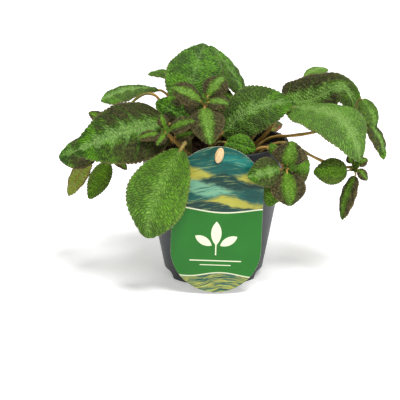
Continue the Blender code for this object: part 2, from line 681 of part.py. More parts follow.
def runner_way(runner):
    """The stem's smooth way above the soil."""
    return smooth_way([Vector(point) * MM for point in runner.way], 2)


def stem_loft(curve, radii, columns):
    """A round stem along a curve. Each ring's side is the last one's, turned as little as it can be."""
    bm = bmesh.new()
    side = Vector((1, 0, 0))
    rings = []
    for i, point in enumerate(curve):
        before, after = curve[max(i - 1, 0)], curve[min(i + 1, len(curve) - 1)]
        direction = (after - before).normalized()
        side = (side - direction * side.dot(direction)).normalized()
        rings.append(round_ring(point, side, side.cross(direction), radii[i], columns))
    skin(bm, rings, columns)
    return bm


def make_stem(name, runner):
    """A stem that stands in its hole in the soil. A shoot is thick as far as its leaves' seats."""
    curve = runner_way(runner)
    radius = runner.radius * MM
    x, y, _ = curve[0]
    foot = Vector((x, y, STEM_FOOT))
    if name.startswith("shoot"):
        radii = [SHOOT_RADIUS, SHOOT_RADIUS, SHOOT_TAPER * SHOOT_RADIUS] + [radius] * (len(curve) - 1)
        curve = [foot, curve[0] - Vector((0, 0, SHOOT_SHOULDER))] + curve
        return stem_loft(curve, radii, 3)
    curve = [foot, Vector((x, y, SOIL_TOP))] + curve
    return stem_loft(curve, [radius] * len(curve), 2)


def make_runner(name, runner):
    """A stem and its leaves, joined in one body, with every leaf's root sunk into the stem."""
    body = add_object(name, make_stem(name, runner), "stem")
    curve = runner_way(runner)
    leaves = []
    for index, (place, blade) in enumerate(runner.leaves):
        node = curve[round(place * (len(curve) - 1))]
        heading = (Vector(blade.base) * MM - node).normalized()
        root = node - heading * STALK_SINK
        loft = leaf_loft(blade, root, heading, STALK_SHARE * runner.radius * MM, STALK_REACH)
        leaves.append(add_object(f"{name}_leaf_{index}", loft, "leaf_copper"))
    return boolean(body, leaves, "UNION")


def main():
    clear_scene()
    make_pot()
    make_soil()
    make_label()
    make_peg()
    for name, leaf in LEAVES.items():
        make_leaf(name, leaf)
    for name, runner in RUNNERS.items():
        make_runner(name, runner)


main()
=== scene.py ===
# %% [markdown]
# # A flame violet in its nursery pot
#
# A flame violet is a low house plant with crinkled, hairy leaves. Pale veins run through green and bronze
# patches, and runners with small rosettes hang over the rim of the pot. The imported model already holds
# every leaf, stem and pot wall at its real size and place. This script dresses that model: each leaf gets
# its puckers, its scalloped margin, its markings and its hairs, and the pot, the soil and the label get
# their finish.
#
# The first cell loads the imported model. Its nodes are in metres, and nothing here moves them.

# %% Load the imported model
import math
from dataclasses import dataclass

import bmesh
import bpy
import numpy as np
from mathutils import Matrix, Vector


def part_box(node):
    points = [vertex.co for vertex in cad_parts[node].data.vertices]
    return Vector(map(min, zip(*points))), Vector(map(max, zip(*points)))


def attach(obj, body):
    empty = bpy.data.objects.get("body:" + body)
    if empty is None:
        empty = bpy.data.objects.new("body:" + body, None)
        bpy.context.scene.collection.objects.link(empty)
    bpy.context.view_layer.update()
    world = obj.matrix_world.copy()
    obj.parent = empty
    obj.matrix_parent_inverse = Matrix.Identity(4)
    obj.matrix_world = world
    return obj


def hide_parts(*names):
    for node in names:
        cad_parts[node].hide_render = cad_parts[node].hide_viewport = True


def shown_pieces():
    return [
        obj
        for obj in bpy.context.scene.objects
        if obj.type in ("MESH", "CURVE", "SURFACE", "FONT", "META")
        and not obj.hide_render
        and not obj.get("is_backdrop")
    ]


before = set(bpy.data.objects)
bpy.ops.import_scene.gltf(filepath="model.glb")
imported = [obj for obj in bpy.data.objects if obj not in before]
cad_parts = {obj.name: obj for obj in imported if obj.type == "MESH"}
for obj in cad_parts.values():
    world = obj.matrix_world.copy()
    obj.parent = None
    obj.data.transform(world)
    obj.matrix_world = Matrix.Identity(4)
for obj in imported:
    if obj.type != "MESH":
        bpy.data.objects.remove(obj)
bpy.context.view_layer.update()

MM = 0.001
BODY = "root"
pot_low, pot_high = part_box("pot")
AXIS_X = (pot_low.x + pot_high.x) / 2
RIM_RADIUS = (pot_high.x - pot_low.x) / 2
POT_HEIGHT = pot_high.z
print("nodes:", len(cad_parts), "pot's axis at x =", round(AXIS_X / MM, 2), "mm")

# %% [markdown]
# ## Where the leaves are
#
# A leaf blade is a curved sheet. A few numbers hold its form: where it starts and ends, which way its
# upper side looks, how wide it is and how it bends. They are the same numbers that the model's own leaves
# were built from, in millimetres from the pot's axis, so each finer leaf lies in its plain one.
#
# The grain of a blade is the size of its puckers against those of a usual leaf. The last three numbers are
# its colours: how much bronze lies between the veins, how pale the feather along the veins is, and how
# yellow the green is.

# %% What describes a leaf
@dataclass(frozen=True)
class Blade:
    base: tuple
    tip: tuple
    face: tuple
    width: float
    arch: float = 2.0  # how far the midrib bows out towards the upper side
    crest: float = 1.0  # above 1, that bow is nearer the tip
    sway: float = 0.0  # how far the midrib bows sideways
    skew: float = 0.0  # how far each side leans along the leaf, in widths
    fan: float = 0.0  # how far that lean gives way again up to the tip, in widths
    peak: float = 0.45  # where the blade is widest
    fold: float = 0.10  # how far each half rises from the midrib, in widths
    curl: float = 0.17  # how far the margins turn down again, in widths
    grain: float = 1.0
    tint: tuple = (1.0, 0.55, 0.8)  # bronze, pale feather, yellow


@dataclass(frozen=True)
class Leaf:
    shoot: str
    height: float
    blade: Blade
    stalk: float = 1.4
    rise: float = 25.0  # degrees that the stalk rises by where it sets off
    ease: float = 0.30  # how far ahead of the blade the stalk already runs its way, in reaches


@dataclass(frozen=True)
class Runner:
    way: tuple
    radius: float
    leaves: tuple


# %% [markdown]
# The three shoots stand near the middle of the soil, each at its own place across and towards the back.
# Sixteen leaves grow from them on stalks of their own. Old leaves are plain green, and those that get more
# light are patched with bronze. The two inner leaves carry the most bronze: it is painted shade for the dark
# middle of the plant.

# %% Leaves on the shoots
SHOOTS = {"centre": (0.0, 10.0), "left": (-22.0, -14.0), "right": (24.0, -4.0)}

LEAVES = {
    "leaf_crest": Leaf("centre", 114.0, Blade(
        (-21.6, 12, 134.2), (-7.1, 50, 179.7), (0.0, -0.80, 0.60), 47, arch=11, peak=0.40,
        tint=(0.0, 0.55, 0.15))),
    "leaf_behind_crest": Leaf("centre", 111.0, Blade(
        (24.0, 42, 139.0), (-3.0, 60, 176.4), (0.78, -0.30, 0.60), 42, arch=2.5, grain=0.8,
        tint=(0.6, 0.7, 0.1))),
    "leaf_upper_left": Leaf("centre", 109.0, Blade(
        (-43.6, 30, 144.5), (-91.2, 18, 137.6), (0.0, -0.18, 1.0), 31, arch=5, peak=0.68, grain=0.85,
        tint=(0.45, 1.3, 0.3)), stalk=1.2, ease=0.15),
    "leaf_left": Leaf("left", 106.0, Blade(
        (-35.9, -32, 129.7), (-108.0, -52, 112.0), (-0.10, -0.85, 0.50), 51, arch=10, peak=0.41,
        tint=(0.95, 1.0, 0.25))),
    "leaf_front": Leaf("left", 105.0, Blade(
        (-25.4, -64, 117.0), (-52.0, -80, 51.6), (-0.10, -0.97, 0.20), 47, arch=7, sway=4, peak=0.56,
        tint=(0.0, 0.7, 0.55)), rise=35.0, ease=0.2),
    "leaf_right": Leaf("centre", 108.0, Blade(
        (6.5, -8, 116.4), (62.2, -24, 145.9), (-0.10, -0.85, 0.50), 40, arch=7, sway=-6.5, grain=0.75,
        tint=(0.5, 1.1, 0.3))),
    "leaf_far_right": Leaf("right", 110.0, Blade(
        (59.5, 38, 135.0), (117.5, 25, 123.0), (-0.15, -0.55, 0.83), 44, arch=29, crest=2.2, skew=0.70,
        fan=1.75, peak=0.38, fold=0.12, grain=0.85, tint=(0.95, 1.1, 0.45))),
    "leaf_right_front": Leaf("right", 105.0, Blade(
        (60.8, -10, 139.0), (113.8, -35, 100.9), (0.46, -0.55, 0.69), 53, arch=17, crest=1.2, sway=-4,
        skew=-0.2, peak=0.50, grain=0.7, tint=(0.0, 1.25, 0.4)), ease=0.15),
    "leaf_rear_left": Leaf("centre", 104.0, Blade(
        (-27, 28, 117), (-62, 66, 98), (-0.15, 0.30, 0.90), 44, arch=12, tint=(0.8, 0.9, 0.2))),
    "leaf_rear": Leaf("centre", 105.0, Blade(
        (2, 38, 116), (-3, 83, 86), (0.0, 0.50, 0.85), 44, arch=13, tint=(0.1, 0.6, 0.3))),
    "leaf_rear_right": Leaf("right", 103.0, Blade(
        (36, 23, 113), (51, 66, 101), (0.0, 0.15, 1.0), 28, arch=8, tint=(0.8, 0.8, 0.2))),
    "leaf_small_rear_left": Leaf("centre", 108.0, Blade(
        (-30.9, 54, 150.9), (-54.4, 62, 151.8), (0.0, -0.10, 1.0), 21, arch=3, tint=(0.4, 0.4, 0.4)),
        stalk=1.1),
    "leaf_small_rear_right": Leaf("right", 106.5, Blade(
        (76.7, 66, 148.4), (96.7, 72, 154.1), (0.0, -0.10, 1.0), 22, arch=3, tint=(0.0, 1.6, 0.5)),
        stalk=1.1, ease=0.45),
    "leaf_small_front": Leaf("centre", 103.0, Blade(
        (9, -28, 114), (32, -42, 111), (0.0, -0.80, 0.60), 20, arch=3, tint=(0.1, 0.2, 0.3)), stalk=1.1),
    # The two inner leaves: their strong bronze is painted shade for the shadow inside the plant.
    "leaf_inner_right": Leaf("centre", 113.5, Blade(
        (-5.0, 19, 120.0), (7, 42, 149.0), (0.15, -0.85, 0.45), 38, arch=4, tint=(2.0, 0.3, 0.2)),
        stalk=1.1),
    "leaf_inner_left": Leaf("left", 110.5, Blade(
        (-16, -4, 124.5), (-46.0, -3, 141.5), (0.0, -0.90, 0.45), 28, arch=3, tint=(1.4, 0.3, 0.2)),
        stalk=1.1),
}
print("leaves on the shoots:", len(LEAVES))

# %% [markdown]
# The runners and the shoots' own tips carry young leaves. Those are chocolate brown at the margin, with a
# bright yellow-green feather in the middle, and most keep the colours that a blade has if nothing else is
# said. A few low ones are plain, and those at the top of the middle shoot are the freshest. Each runner is a
# line of points for its stem, its radius, and its leaves by their place along it, from 0 to 1.

# %% Tips of the three shoots
PLAIN = (0.25, 0.25, 0.6)  # bronze, pale feather, yellow
FRESH = (1.0, 0.9, 0.7)

RUNNERS = {
    "shoot_centre": Runner(((0, 10, 118), (-1, 4, 126), (-4, -10, 136), (-7, -25, 143.5)), 1.7, (
        (1.0, Blade((-10.5, -27, 146.5), (-34.1, -36, 158.8), (0.15, -0.70, 0.70), 21, arch=3, tint=FRESH)),
        (1.0, Blade((-4, -28, 146), (11.1, -36, 145.5), (0.10, -0.60, 0.80), 17, tint=FRESH)),
        (1.0, Blade((-7.5, -30, 141.7), (-3, -60, 119.5), (0.0, -0.85, 0.50), 27, arch=5, tint=FRESH)),
        (0.9, Blade((-5.0, -20, 149), (8.6, -8, 162.5), (-0.10, -0.75, 0.65), 20, arch=3, tint=FRESH)),
    )),
    "shoot_left": Runner(((-22, -14, 113), (-22, -14, 116), (-22, -15, 119), (-22, -16, 120)), 1.7, (
        (0.9, Blade((-24, -20, 121), (-30, -28, 128), (0.1, -0.5, 0.8), 9, arch=1)),
        (0.9, Blade((-18, -18, 121), (-11, -21, 128), (-0.2, -0.6, 0.8), 8, arch=1)),
    )),
    "shoot_right": Runner(((24, -4, 113), (24, -4, 116), (24, -5, 119), (25, -6, 121)), 1.7, (
        (0.9, Blade((28, -6, 123), (38, -3, 128), (-0.2, -0.4, 0.9), 9, arch=1)),
        (0.9, Blade((25, 0, 124), (29, 10, 131), (-0.1, -0.6, 0.8), 9, arch=1)),
    )),
}
print("tips:", len(RUNNERS), "with", sum(len(r.leaves) for r in RUNNERS.values()), "leaves")

# %% [markdown]
# Five leafy stems show at the sides and in front. One is a short young plant beside the shoots, and four are
# runners that rise over the rim and hang down outside.

# %% Leafy stems that the photo shows
RUNNERS.update({
    "offset_left": Runner(
        ((-14.5, -37.5, 103), (-17, -39, 105.5), (-22, -41, 109.5), (-29, -43, 117), (-37, -45, 126)), 1.5, (
            (1.0, Blade((-41.5, -48, 124.5), (-58.2, -57, 123.0), (-0.05, -0.55, 0.85), 12)),
            (1.0, Blade((-34, -46, 128.5), (-14.8, -50, 135.9), (-0.10, -0.75, 0.65), 14)),
            (1.0, Blade((-38, -45, 130), (-41, -45, 140), (0.05, -0.85, 0.35), 9, arch=1)),
            (1.0, Blade((-38, -50, 126), (-44, -59, 119), (0.10, -0.85, 0.40), 9, arch=1)),
            (0.8, Blade((-30, -44, 122), (-14.1, -48, 126.5), (0.0, -0.85, 0.50), 10, arch=1)),
        )),
    "runner_front_right": Runner(
        ((29, -34, 103), (33, -37, 110), (41, -43, 113.3), (49, -50, 107.5), (54, -54, 100)), 1.4, (
            (1.0, Blade((56, -57, 103), (59, -62, 122.9), (0.05, -0.95, 0.30), 26, arch=3)),
            (1.0, Blade((50.5, -58, 100.1), (25, -70, 97.0), (-0.15, -0.95, 0.20), 23, arch=3,
                        tint=(0.85, 1.0, 0.35))),
            (1.0, Blade((55.5, -60, 98), (57.5, -68, 73.5), (0.05, -0.95, 0.10), 27, arch=3, peak=0.5)),
            (0.95, Blade((60, -53, 100), (74, -40, 97), (0.80, -0.55, 0.10), 27, arch=3,
                         tint=(0.85, 0.2, 0.5))),
            (0.95, Blade((48.5, -56, 92), (41.2, -61, 71.1), (-0.10, -0.95, 0.10), 17, tint=PLAIN)),
            (0.75, Blade((47.4, -50, 110), (43.2, -49, 118), (0.0, -0.90, 0.30), 8, arch=1, tint=PLAIN)),
            (1.0, Blade((57, -60, 101), (62.5, -65, 104), (-0.2, -0.9, 0.3), 6, arch=0.5, tint=PLAIN)),
        )),
    "runner_right": Runner(
        ((36, -18, 103), (43, -22, 109.5), (53, -27, 113.8), (64, -30, 111.0), (76, -30, 104), (88, -28, 98),
         (101, -26, 94), (110, -23, 93)), 1.2, (
            (0.97, Blade((104.5, -29, 91.5), (77.8, -33, 91.5), (0.0, -1.0, 0.15), 21,
                         tint=(0.45, 0.15, 0.85))),
            (1.0, Blade((111.5, -24, 86), (101.6, -28, 51.1), (-0.86, -0.50, 0.20), 19)),
            (1.0, Blade((113, -22, 95), (121.5, -20, 98.5), (0.0, -0.7, 0.7), 9, arch=1)),
            (1.0, Blade((114, -23, 91), (121, -24, 82.5), (0.3, -0.8, 0.5), 9, arch=1)),
            (1.0, Blade((109, -22, 96), (106, -21, 102.5), (-0.2, -0.8, 0.4), 7, arch=1)),
        )),
    "runner_far_right": Runner(
        ((36, 10, 103), (43, 9, 108.0), (50, 6, 111.2), (61, 2, 112.8), (77, 2, 115.0), (97, 3, 120),
         (112, 4, 127)), 1.3, (
            (1.0, Blade((118.0, 3, 142.0), (129.0, 4, 115.5), (0.60, -0.62, 0.50), 21, arch=4,
                        tint=(0.3, 0.7, 0.5))),
            (1.0, Blade((121, 1, 125), (136.2, -6, 95.0), (0.70, -0.45, 0.40), 21, arch=4,
                        tint=(0.9, 0.9, 0.4))),
            (1.0, Blade((112, 9, 121), (110, 20, 104), (0.1, 0.8, 0.3), 18, arch=3)),
            (1.0, Blade((112, -1, 121), (110, -8, 112), (0.1, -0.8, 0.3), 9, arch=1)),
        )),
    "runner_far_left": Runner(
        ((-36, 12, 103), (-38, 13, 116), (-41, 11, 134), (-46, 5, 144.5), (-54, 4, 146.6), (-63, 4, 141.6),
         (-74, 4, 128), (-82, 4, 113), (-86, 3, 103)), 1.2, (
            (1.0, Blade((-94, 7, 97.5), (-125.4, 9, 93.6), (-0.20, -0.55, 0.80), 34, arch=4,
                        tint=(1.0, 0.6, 0.2))),
            (1.0, Blade((-101, 9, 92), (-117.5, 3, 62.5), (-0.60, 0.75, 0.25), 19, tint=(0.3, 0.5, 1.1))),
            (1.0, Blade((-84.5, -4, 92), (-99.8, -12, 64.0), (-0.10, -0.95, 0.25), 17,
                        tint=(0.35, 0.3, 1.1))),
            (1.0, Blade((-78, 2, 94), (-70, 0, 85), (0.3, -0.8, 0.4), 7, arch=1)),
            (0.94, Blade((-87, 12, 123), (-101.0, 16, 128.9), (-0.10, -0.65, 0.60), 10, arch=1,
                         tint=(0.9, 0.6, 1.0))),
        )),
})
print("leafy stems so far:", len(RUNNERS))

# %% [markdown]
# Two more runners hang at the back. The photo can't show them, but a plant grows to all sides.

# %% Leafy stems at the back
RUNNERS.update({
    "runner_rear_left": Runner(
        ((-34, 28, 103), (-39, 31, 109.5), (-49, 35, 113.5), (-60, 38, 108), (-68, 40, 97)), 1.3, (
            (1.0, Blade((-73, 44, 98), (-90, 58, 108), (-0.55, 0.65, 0.45), 20, arch=3)),
            (1.0, Blade((-72, 37, 96), (-92, 26, 99), (-0.80, 0.30, 0.45), 19, arch=3)),
            (1.0, Blade((-72, 44, 92), (-78, 54, 74), (-0.65, 0.65, 0.20), 20, arch=3)),
            (1.0, Blade((-66, 46, 94), (-60, 60, 84), (0.0, 0.85, 0.40), 11, arch=1, tint=PLAIN)),
        )),
    "runner_rear_right": Runner(
        ((14, 34, 103), (18, 41, 110.0), (23, 53, 114.0), (29, 62, 108), (35, 68, 97), (37, 70, 89)), 1.3, (
            (1.0, Blade((32, 74, 90), (16, 80, 98), (0.0, 0.80, 0.60), 19, arch=2)),
            (1.0, Blade((42, 72, 90), (60, 66, 98), (0.45, 0.75, 0.40), 19, arch=2)),
            (1.0, Blade((38, 75, 85), (44, 81, 62), (0.10, 0.95, 0.15), 22, arch=2)),
            (1.0, Blade((33, 73, 84), (22, 78, 73), (-0.30, 0.90, 0.10), 12, arch=1, tint=PLAIN)),
        )),
})
print("leafy stems:", len(RUNNERS), "with", sum(len(r.leaves) for r in RUNNERS.values()), "leaves")

# %% [markdown]
# ## Camera
#
# The photo was taken from a little above the rim, from far enough away that the pot's walls hardly
# converge. The label's size and the tilt of the rim's ellipse gave the distance and the height.

# %% Camera
CAMERA_ELEVATION = math.radians(15.0)
CAMERA_DISTANCE = 1.2
AIM_FROM_AXIS = -0.011
AIM_HEIGHT = 0.060
SENSOR_WIDTH = 36.0
PIXELS_WIDE = 400
FOCAL_PIXELS = 1482.0

camera_data = bpy.data.cameras.new("camera")
camera_data.sensor_width = SENSOR_WIDTH
camera_data.lens = SENSOR_WIDTH * FOCAL_PIXELS / PIXELS_WIDE
camera = bpy.data.objects.new("camera", camera_data)
bpy.context.scene.collection.objects.link(camera)
camera.location = (
    AXIS_X + AIM_FROM_AXIS,
    -CAMERA_DISTANCE * math.cos(CAMERA_ELEVATION),
    AIM_HEIGHT + CAMERA_DISTANCE * math.sin(CAMERA_ELEVATION),
)
camera.rotation_euler = (math.radians(90.0) - CAMERA_ELEVATION, 0.0, 0.0)
bpy.context.scene.camera = camera
print("lens:", round(camera_data.lens, 1), "mm")

# %% [markdown]
# ## Sums that build shader nodes
#
# A material's node tree is a formula. Written out node by node it is long and hard to read. So one small
# class stands for a socket and turns Python's plus, minus and times into Math nodes, and a tree has one
# method that adds any other node. The formulas below then read as formulas.

# %% A socket that can be used in sums
class Wire:
    def __init__(self, tree, socket):
        self.tree = tree
        self.socket = socket

    def math(self, operation, *values):
        return self.tree.node("ShaderNodeMath", {"operation": operation}, dict(enumerate(values)))

    def __add__(self, other):
        return self.math("ADD", self, other)

    def __sub__(self, other):
        return self.math("SUBTRACT", self, other)

    def __rsub__(self, other):
        return self.math("SUBTRACT", other, self)

    def __mul__(self, other):
        return self.math("MULTIPLY", self, other)

    def __truediv__(self, other):
        return self.math("DIVIDE", self, other)

    def __pow__(self, power):
        return self.math("POWER", self, power)

    def __abs__(self):
        return self.math("ABSOLUTE", self)

    def larger(self, other):
        return self.math("MAXIMUM", self, other)

    __radd__ = __add__
    __rmul__ = __mul__


# %% [markdown]
# The tree's method takes a node's type, its settings, and the values or links of its sockets by their name
# or number. The settings go first, because they decide which sockets a node has.

# %% A node tree that is written in sums
class Tree:
    def __init__(self, tree):
        self.tree = tree

    def put(self, socket, value):
        if isinstance(value, Wire):
            self.tree.links.new(value.socket, socket)
        else:
            socket.default_value = value

    def node(self, kind, settings=None, values=None, output=0):
        made = self.tree.nodes.new(kind)
        for name, value in (settings or {}).items():
            setattr(made, name, value)
        for key, value in (values or {}).items():
            self.put(made.inputs[key], value)
        return Wire(self, made.outputs[output])

    def parts(self, vector):
        split = self.node("ShaderNodeSeparateXYZ", {}, {0: vector})
        return [Wire(self, socket) for socket in split.socket.node.outputs]


# %% [markdown]
# A finish is such a tree on a Principled shader. Its helpers are the few steps that every finish here
# uses: a soft threshold, a mix of two colours, noise, and the fields that are stored on the mesh.

# %% Finishes
def rgb(red, green, blue):
    """A colour as it looks on screen, 0 to 255, as the linear colour that shaders take."""
    return tuple((c / 255 / 12.92) if c < 10.3 else ((c / 255 + 0.055) / 1.055) ** 2.4
                 for c in (red, green, blue)) + (1.0,)


class Finish(Tree):
    def __init__(self, name, **constants):
        self.material = bpy.data.materials.new(name)
        self.material.use_nodes = True
        super().__init__(self.material.node_tree)
        self.shader = self.tree.nodes["Principled BSDF"]
        for socket, value in constants.items():
            self.shader.inputs[socket.replace("_", " ")].default_value = value

    def set(self, **wires):
        for socket, wire in wires.items():
            self.put(self.shader.inputs[socket.replace("_", " ")], wire)

    def step(self, value, low, high):
        return self.node("ShaderNodeMapRange", {"interpolation_type": "SMOOTHSTEP"},
                         {"Value": value, "From Min": low, "From Max": high})

    def mix(self, factor, first, second, blend="MIX"):
        return self.node("ShaderNodeMix", {"data_type": "RGBA", "blend_type": blend},
                         {0: factor, 6: first, 7: second}, 2)

    def noise(self, scale, detail=2.0, vector=None, roughness=0.5):
        values = {"Vector": vector or self.here(), "Scale": scale, "Detail": detail, "Roughness": roughness}
        return self.node("ShaderNodeTexNoise", {}, values)

    def here(self):
        return self.node("ShaderNodeTexCoord", {}, {}, "Object")

    def field(self, name, output="Vector"):
        return self.node("ShaderNodeAttribute", {"attribute_name": name}, {}, output)

    def bump(self, height, strength, distance):
        values = {"Strength": strength, "Distance": distance, "Height": height}
        return self.node("ShaderNodeBump", {}, values)

    def wave(self, phase):
        """0 where the phase is whole and 1 halfway between."""
        return abs(self.node("ShaderNodeMath", {"operation": "SINE"}, {0: phase * math.pi}))


# %% [markdown]
# ## The colours of a leaf
#
# The mesh of each blade stores where a point lies on the leaf: how far across and how far along, the phase
# of the side veins, and the height of the small puckers between them. The finish draws the markings from
# these, so that they follow every bend of the leaf. A picture wrapped round it would smear at the folds.
#
# - A pale feather lies over the midrib and reaches out along each side vein.
# - Between the side veins the blade is bronze or green.
# - The valleys between the puckers get painted shade.
# - The lower side is pale, with a flush of red.
#
# Four noises break all of this up: blotches of about 7 mm, mottling of 2 mm, clouds of 18 mm and specks of
# half a millimetre.

# %% Fields and noise on a leaf
BLOTCHES, MOTTLING, CLOUDS, SPECKS = 150.0, 520.0, 55.0, 2600.0  # noise scales, per metre

skin = Finish("hairy_leaf", Sheen_Weight=0.04, Sheen_Roughness=0.5, Specular_IOR_Level=0.18)
across_signed, along, from_midrib = skin.parts(skin.field("place"))
bronze, feather, yellow = skin.parts(skin.field("tint"))
pucker = skin.field("pucker", "Fac")
between_veins = skin.wave(skin.field("vein", "Fac"))
below = skin.field("below", "Fac")
across = abs(across_signed)
blotch = skin.noise(BLOTCHES, 3.0, roughness=0.6)
mottle = skin.noise(MOTTLING, 3.0, roughness=0.6)
cloud = skin.noise(CLOUDS, 2.0)
speck = skin.noise(SPECKS, 1.0)
# Painted shade: this mask darkens the valleys between the puckers.
valley_shade = 1.0 - skin.step(pucker + 0.8 * (mottle - 0.5), 0.0, 0.9)
print("fields and noises:", len(skin.tree.nodes), "nodes")

# %% [markdown]
# A mask is a number from 0 to 1 that says where a colour lies. The feather reaches outwards as a share of
# the blade's half width. It reaches further along the veins, on young leaves, and where the noise is high,
# which frays its edge. Fine lines mark the veins themselves, and a thin wash pales the green of old leaves:
# the pale cast of their down, with painted sheen.

# %% Where a leaf is pale
fingers = (1.0 - between_veins) ** 1.1 * (1.0 - 0.6 * yellow)
reach = 0.08 + 0.30 * yellow * feather + 0.32 * fingers + 0.24 * (mottle - 0.5) + 0.34 * (blotch - 0.5)
reach = reach * (1.1 - 0.4 * along * yellow)
pale_mask = (1.0 - skin.step(across / reach, 0.3 * yellow, 1.7 - 0.2 * yellow)) * feather
# The feather dims a little in the painted shade of the valleys.
pale_mask = pale_mask * (0.35 + 0.9 * mottle + 0.2 * yellow) * (1.0 - 0.25 * valley_shade)
side_lines = (1.0 - skin.step(between_veins, 0.02, 0.20)) * (1.0 - skin.step(across, 0.5, 0.95))
side_lines = side_lines * (0.3 + 1.1 * blotch) * (0.6 - 0.5 * bronze)
midrib_line = 1.0 - skin.step(from_midrib, 0.3, 0.9)  # millimetres
midrib_line = midrib_line * (1.0 - 0.8 * yellow)
line_mask = (midrib_line * (0.1 + 0.75 * feather)).larger(side_lines * (0.4 + 0.6 * feather))
# The pale cast of the down, partly painted sheen of the hairs.
down_and_sheen_veil = 0.3 * feather * (1.0 - bronze)
pale = pale_mask.larger(line_mask).larger(down_and_sheen_veil)

# %% [markdown]
# The bronze fills the cells between the side veins. It starts a little way out from the midrib, and on old
# leaves it fades towards the tip.

# %% Where a leaf is bronze
patch = between_veins + (blotch - 0.5) * 1.2 + 0.6 * (mottle - 0.5) + 0.9 * yellow + 0.6 * across
patch = patch + 1.5 * (cloud - 0.5)
bronze_start = across - 0.20 * yellow + 0.14 * (blotch - 0.5)
bronze_mask = skin.step(patch, 0.34, 1.0) * skin.step(bronze_start, 0.04, 0.44) * bronze
tip_fade = skin.step(along - 0.5 * yellow + 0.4 * (blotch - 0.5), 0.40, 0.75)
bronze_mask = bronze_mask * (1.0 - tip_fade)
print("masks:", len(skin.tree.nodes), "nodes")

# %% [markdown]
# The greens are mixed from deep to bright by the noises and pulled towards yellow on young leaves. Each mask
# then lays its colour over the last one. The valleys between the puckers get painted shade, pale dots stand
# for hairs that are too fine to model, and the rim of a bronze leaf is brown.

# %% Leaf colours, laid over each other
DEEP_GREEN = rgb(20, 68, 1)
BRIGHT_GREEN = rgb(98, 166, 8)
YOUNG_GREEN = rgb(102, 146, 20)
SILVER_GREEN = rgb(146, 184, 108)
YOUNG_FEATHER = rgb(124, 172, 26)
BRONZE = rgb(68, 70, 26)
BRONZE_DARK = rgb(30, 36, 7)
CHOCOLATE = rgb(108, 97, 58)
CHOCOLATE_DARK = rgb(54, 47, 22)
UNDERSIDE = rgb(152, 172, 66)
UNDERSIDE_FLUSH = rgb(184, 112, 92)
UNDERSIDE_RIB = rgb(184, 190, 128)
RIM_BROWN = rgb(146, 118, 82)
HAIR_DOT = rgb(164, 174, 104)
SHADED_VALLEY_GREEN = rgb(8, 36, 1)
SHADED_VALLEY_BRONZE = rgb(22, 22, 5)

depth = skin.step(blotch + (mottle - 0.5) + 0.8 * (cloud - 0.5), 0.3, 0.7)
green = skin.mix(depth, DEEP_GREEN, BRIGHT_GREEN)
green = skin.mix(yellow * 0.75, green, YOUNG_GREEN)
spots = skin.step(mottle, 0.35, 0.65)
old_brown = skin.mix(spots, BRONZE_DARK, BRONZE)
brown = skin.mix(yellow, old_brown, skin.mix(spots, CHOCOLATE_DARK, CHOCOLATE))
colour = skin.mix(bronze_mask, green, brown)
silver = skin.mix(yellow * (1.1 - 0.5 * along), SILVER_GREEN, YOUNG_FEATHER)
colour = skin.mix(pale, colour, silver)
# The colours of the painted shade in the valleys between the puckers.
shade = skin.mix(bronze_mask, SHADED_VALLEY_GREEN, SHADED_VALLEY_BRONZE)
colour = skin.mix(valley_shade * (0.30 + 0.6 * mottle - 0.3 * pale_mask), colour, shade)
dots = skin.step(speck, 0.58, 0.74) * 0.2
colour = skin.mix(dots, colour, HAIR_DOT)
rim = skin.step(across, 0.93, 0.985) * (0.25 + 0.45 * bronze * yellow)
colour = skin.mix(rim, colour, RIM_BROWN)

# %% [markdown]
# The lower side is painted apart: pale green in the middle, flushed with red towards the margin, with paler
# ribs and a little green mottling. The stored field `below` chooses between the two sides. Fine noise over
# the puckers gives the bump of the down.

# %% The lower side of a leaf
flush = skin.step(across + 0.7 * (blotch - 0.5) - 0.35 * yellow, 0.2, 0.8)
lower = skin.mix(flush, UNDERSIDE, UNDERSIDE_FLUSH)
lower = skin.mix((1.0 - skin.step(between_veins, 0.05, 0.45)) * 0.3, lower, UNDERSIDE_RIB)
lower_spots = skin.step(mottle, 0.45, 0.75) * 0.4
lower = skin.mix(lower_spots, lower, skin.mix(0.5, UNDERSIDE, DEEP_GREEN))
colour = skin.mix(below, colour, lower)
relief = pucker * 0.9 + skin.noise(1500.0, 2.0) * 0.5
skin.set(Base_Color=colour, Roughness=0.50 + 0.2 * mottle, Normal=skin.bump(relief, 0.9, 0.0008))
print("leaf finish:", len(skin.tree.nodes), "nodes")

# %% [markdown]
# Stems run from olive green to golden brown, with fine darker streaks. The hairs are pale green on green
# leaves and brownish on bronze ones. Each is finer than a pixel, so one mixed colour is enough for them.

# %% Stem and hair finishes
STEM_OLIVE = rgb(114, 110, 46)
STEM_GOLD = rgb(188, 146, 72)
STEM_STREAK = rgb(104, 80, 40)
HAIR_PALE = rgb(180, 202, 108)
HAIR_BROWN = rgb(128, 118, 74)

stem_finish = Finish("stem_skin", Sheen_Weight=0.1, Specular_IOR_Level=0.35)
stem_blend = stem_finish.noise(45.0, 2.0)
stem_grain = stem_finish.noise(900.0, 2.0)
stem_colour = stem_finish.mix(stem_finish.step(stem_blend, 0.38, 0.62), STEM_OLIVE, STEM_GOLD)
streaks = stem_finish.step(stem_grain, 0.45, 0.75) * 0.25
stem_colour = stem_finish.mix(streaks, stem_colour, STEM_STREAK)
stem_finish.set(Base_Color=stem_colour, Roughness=0.5 + 0.2 * stem_grain,
                Normal=stem_finish.bump(stem_grain, 0.5, 0.0003))

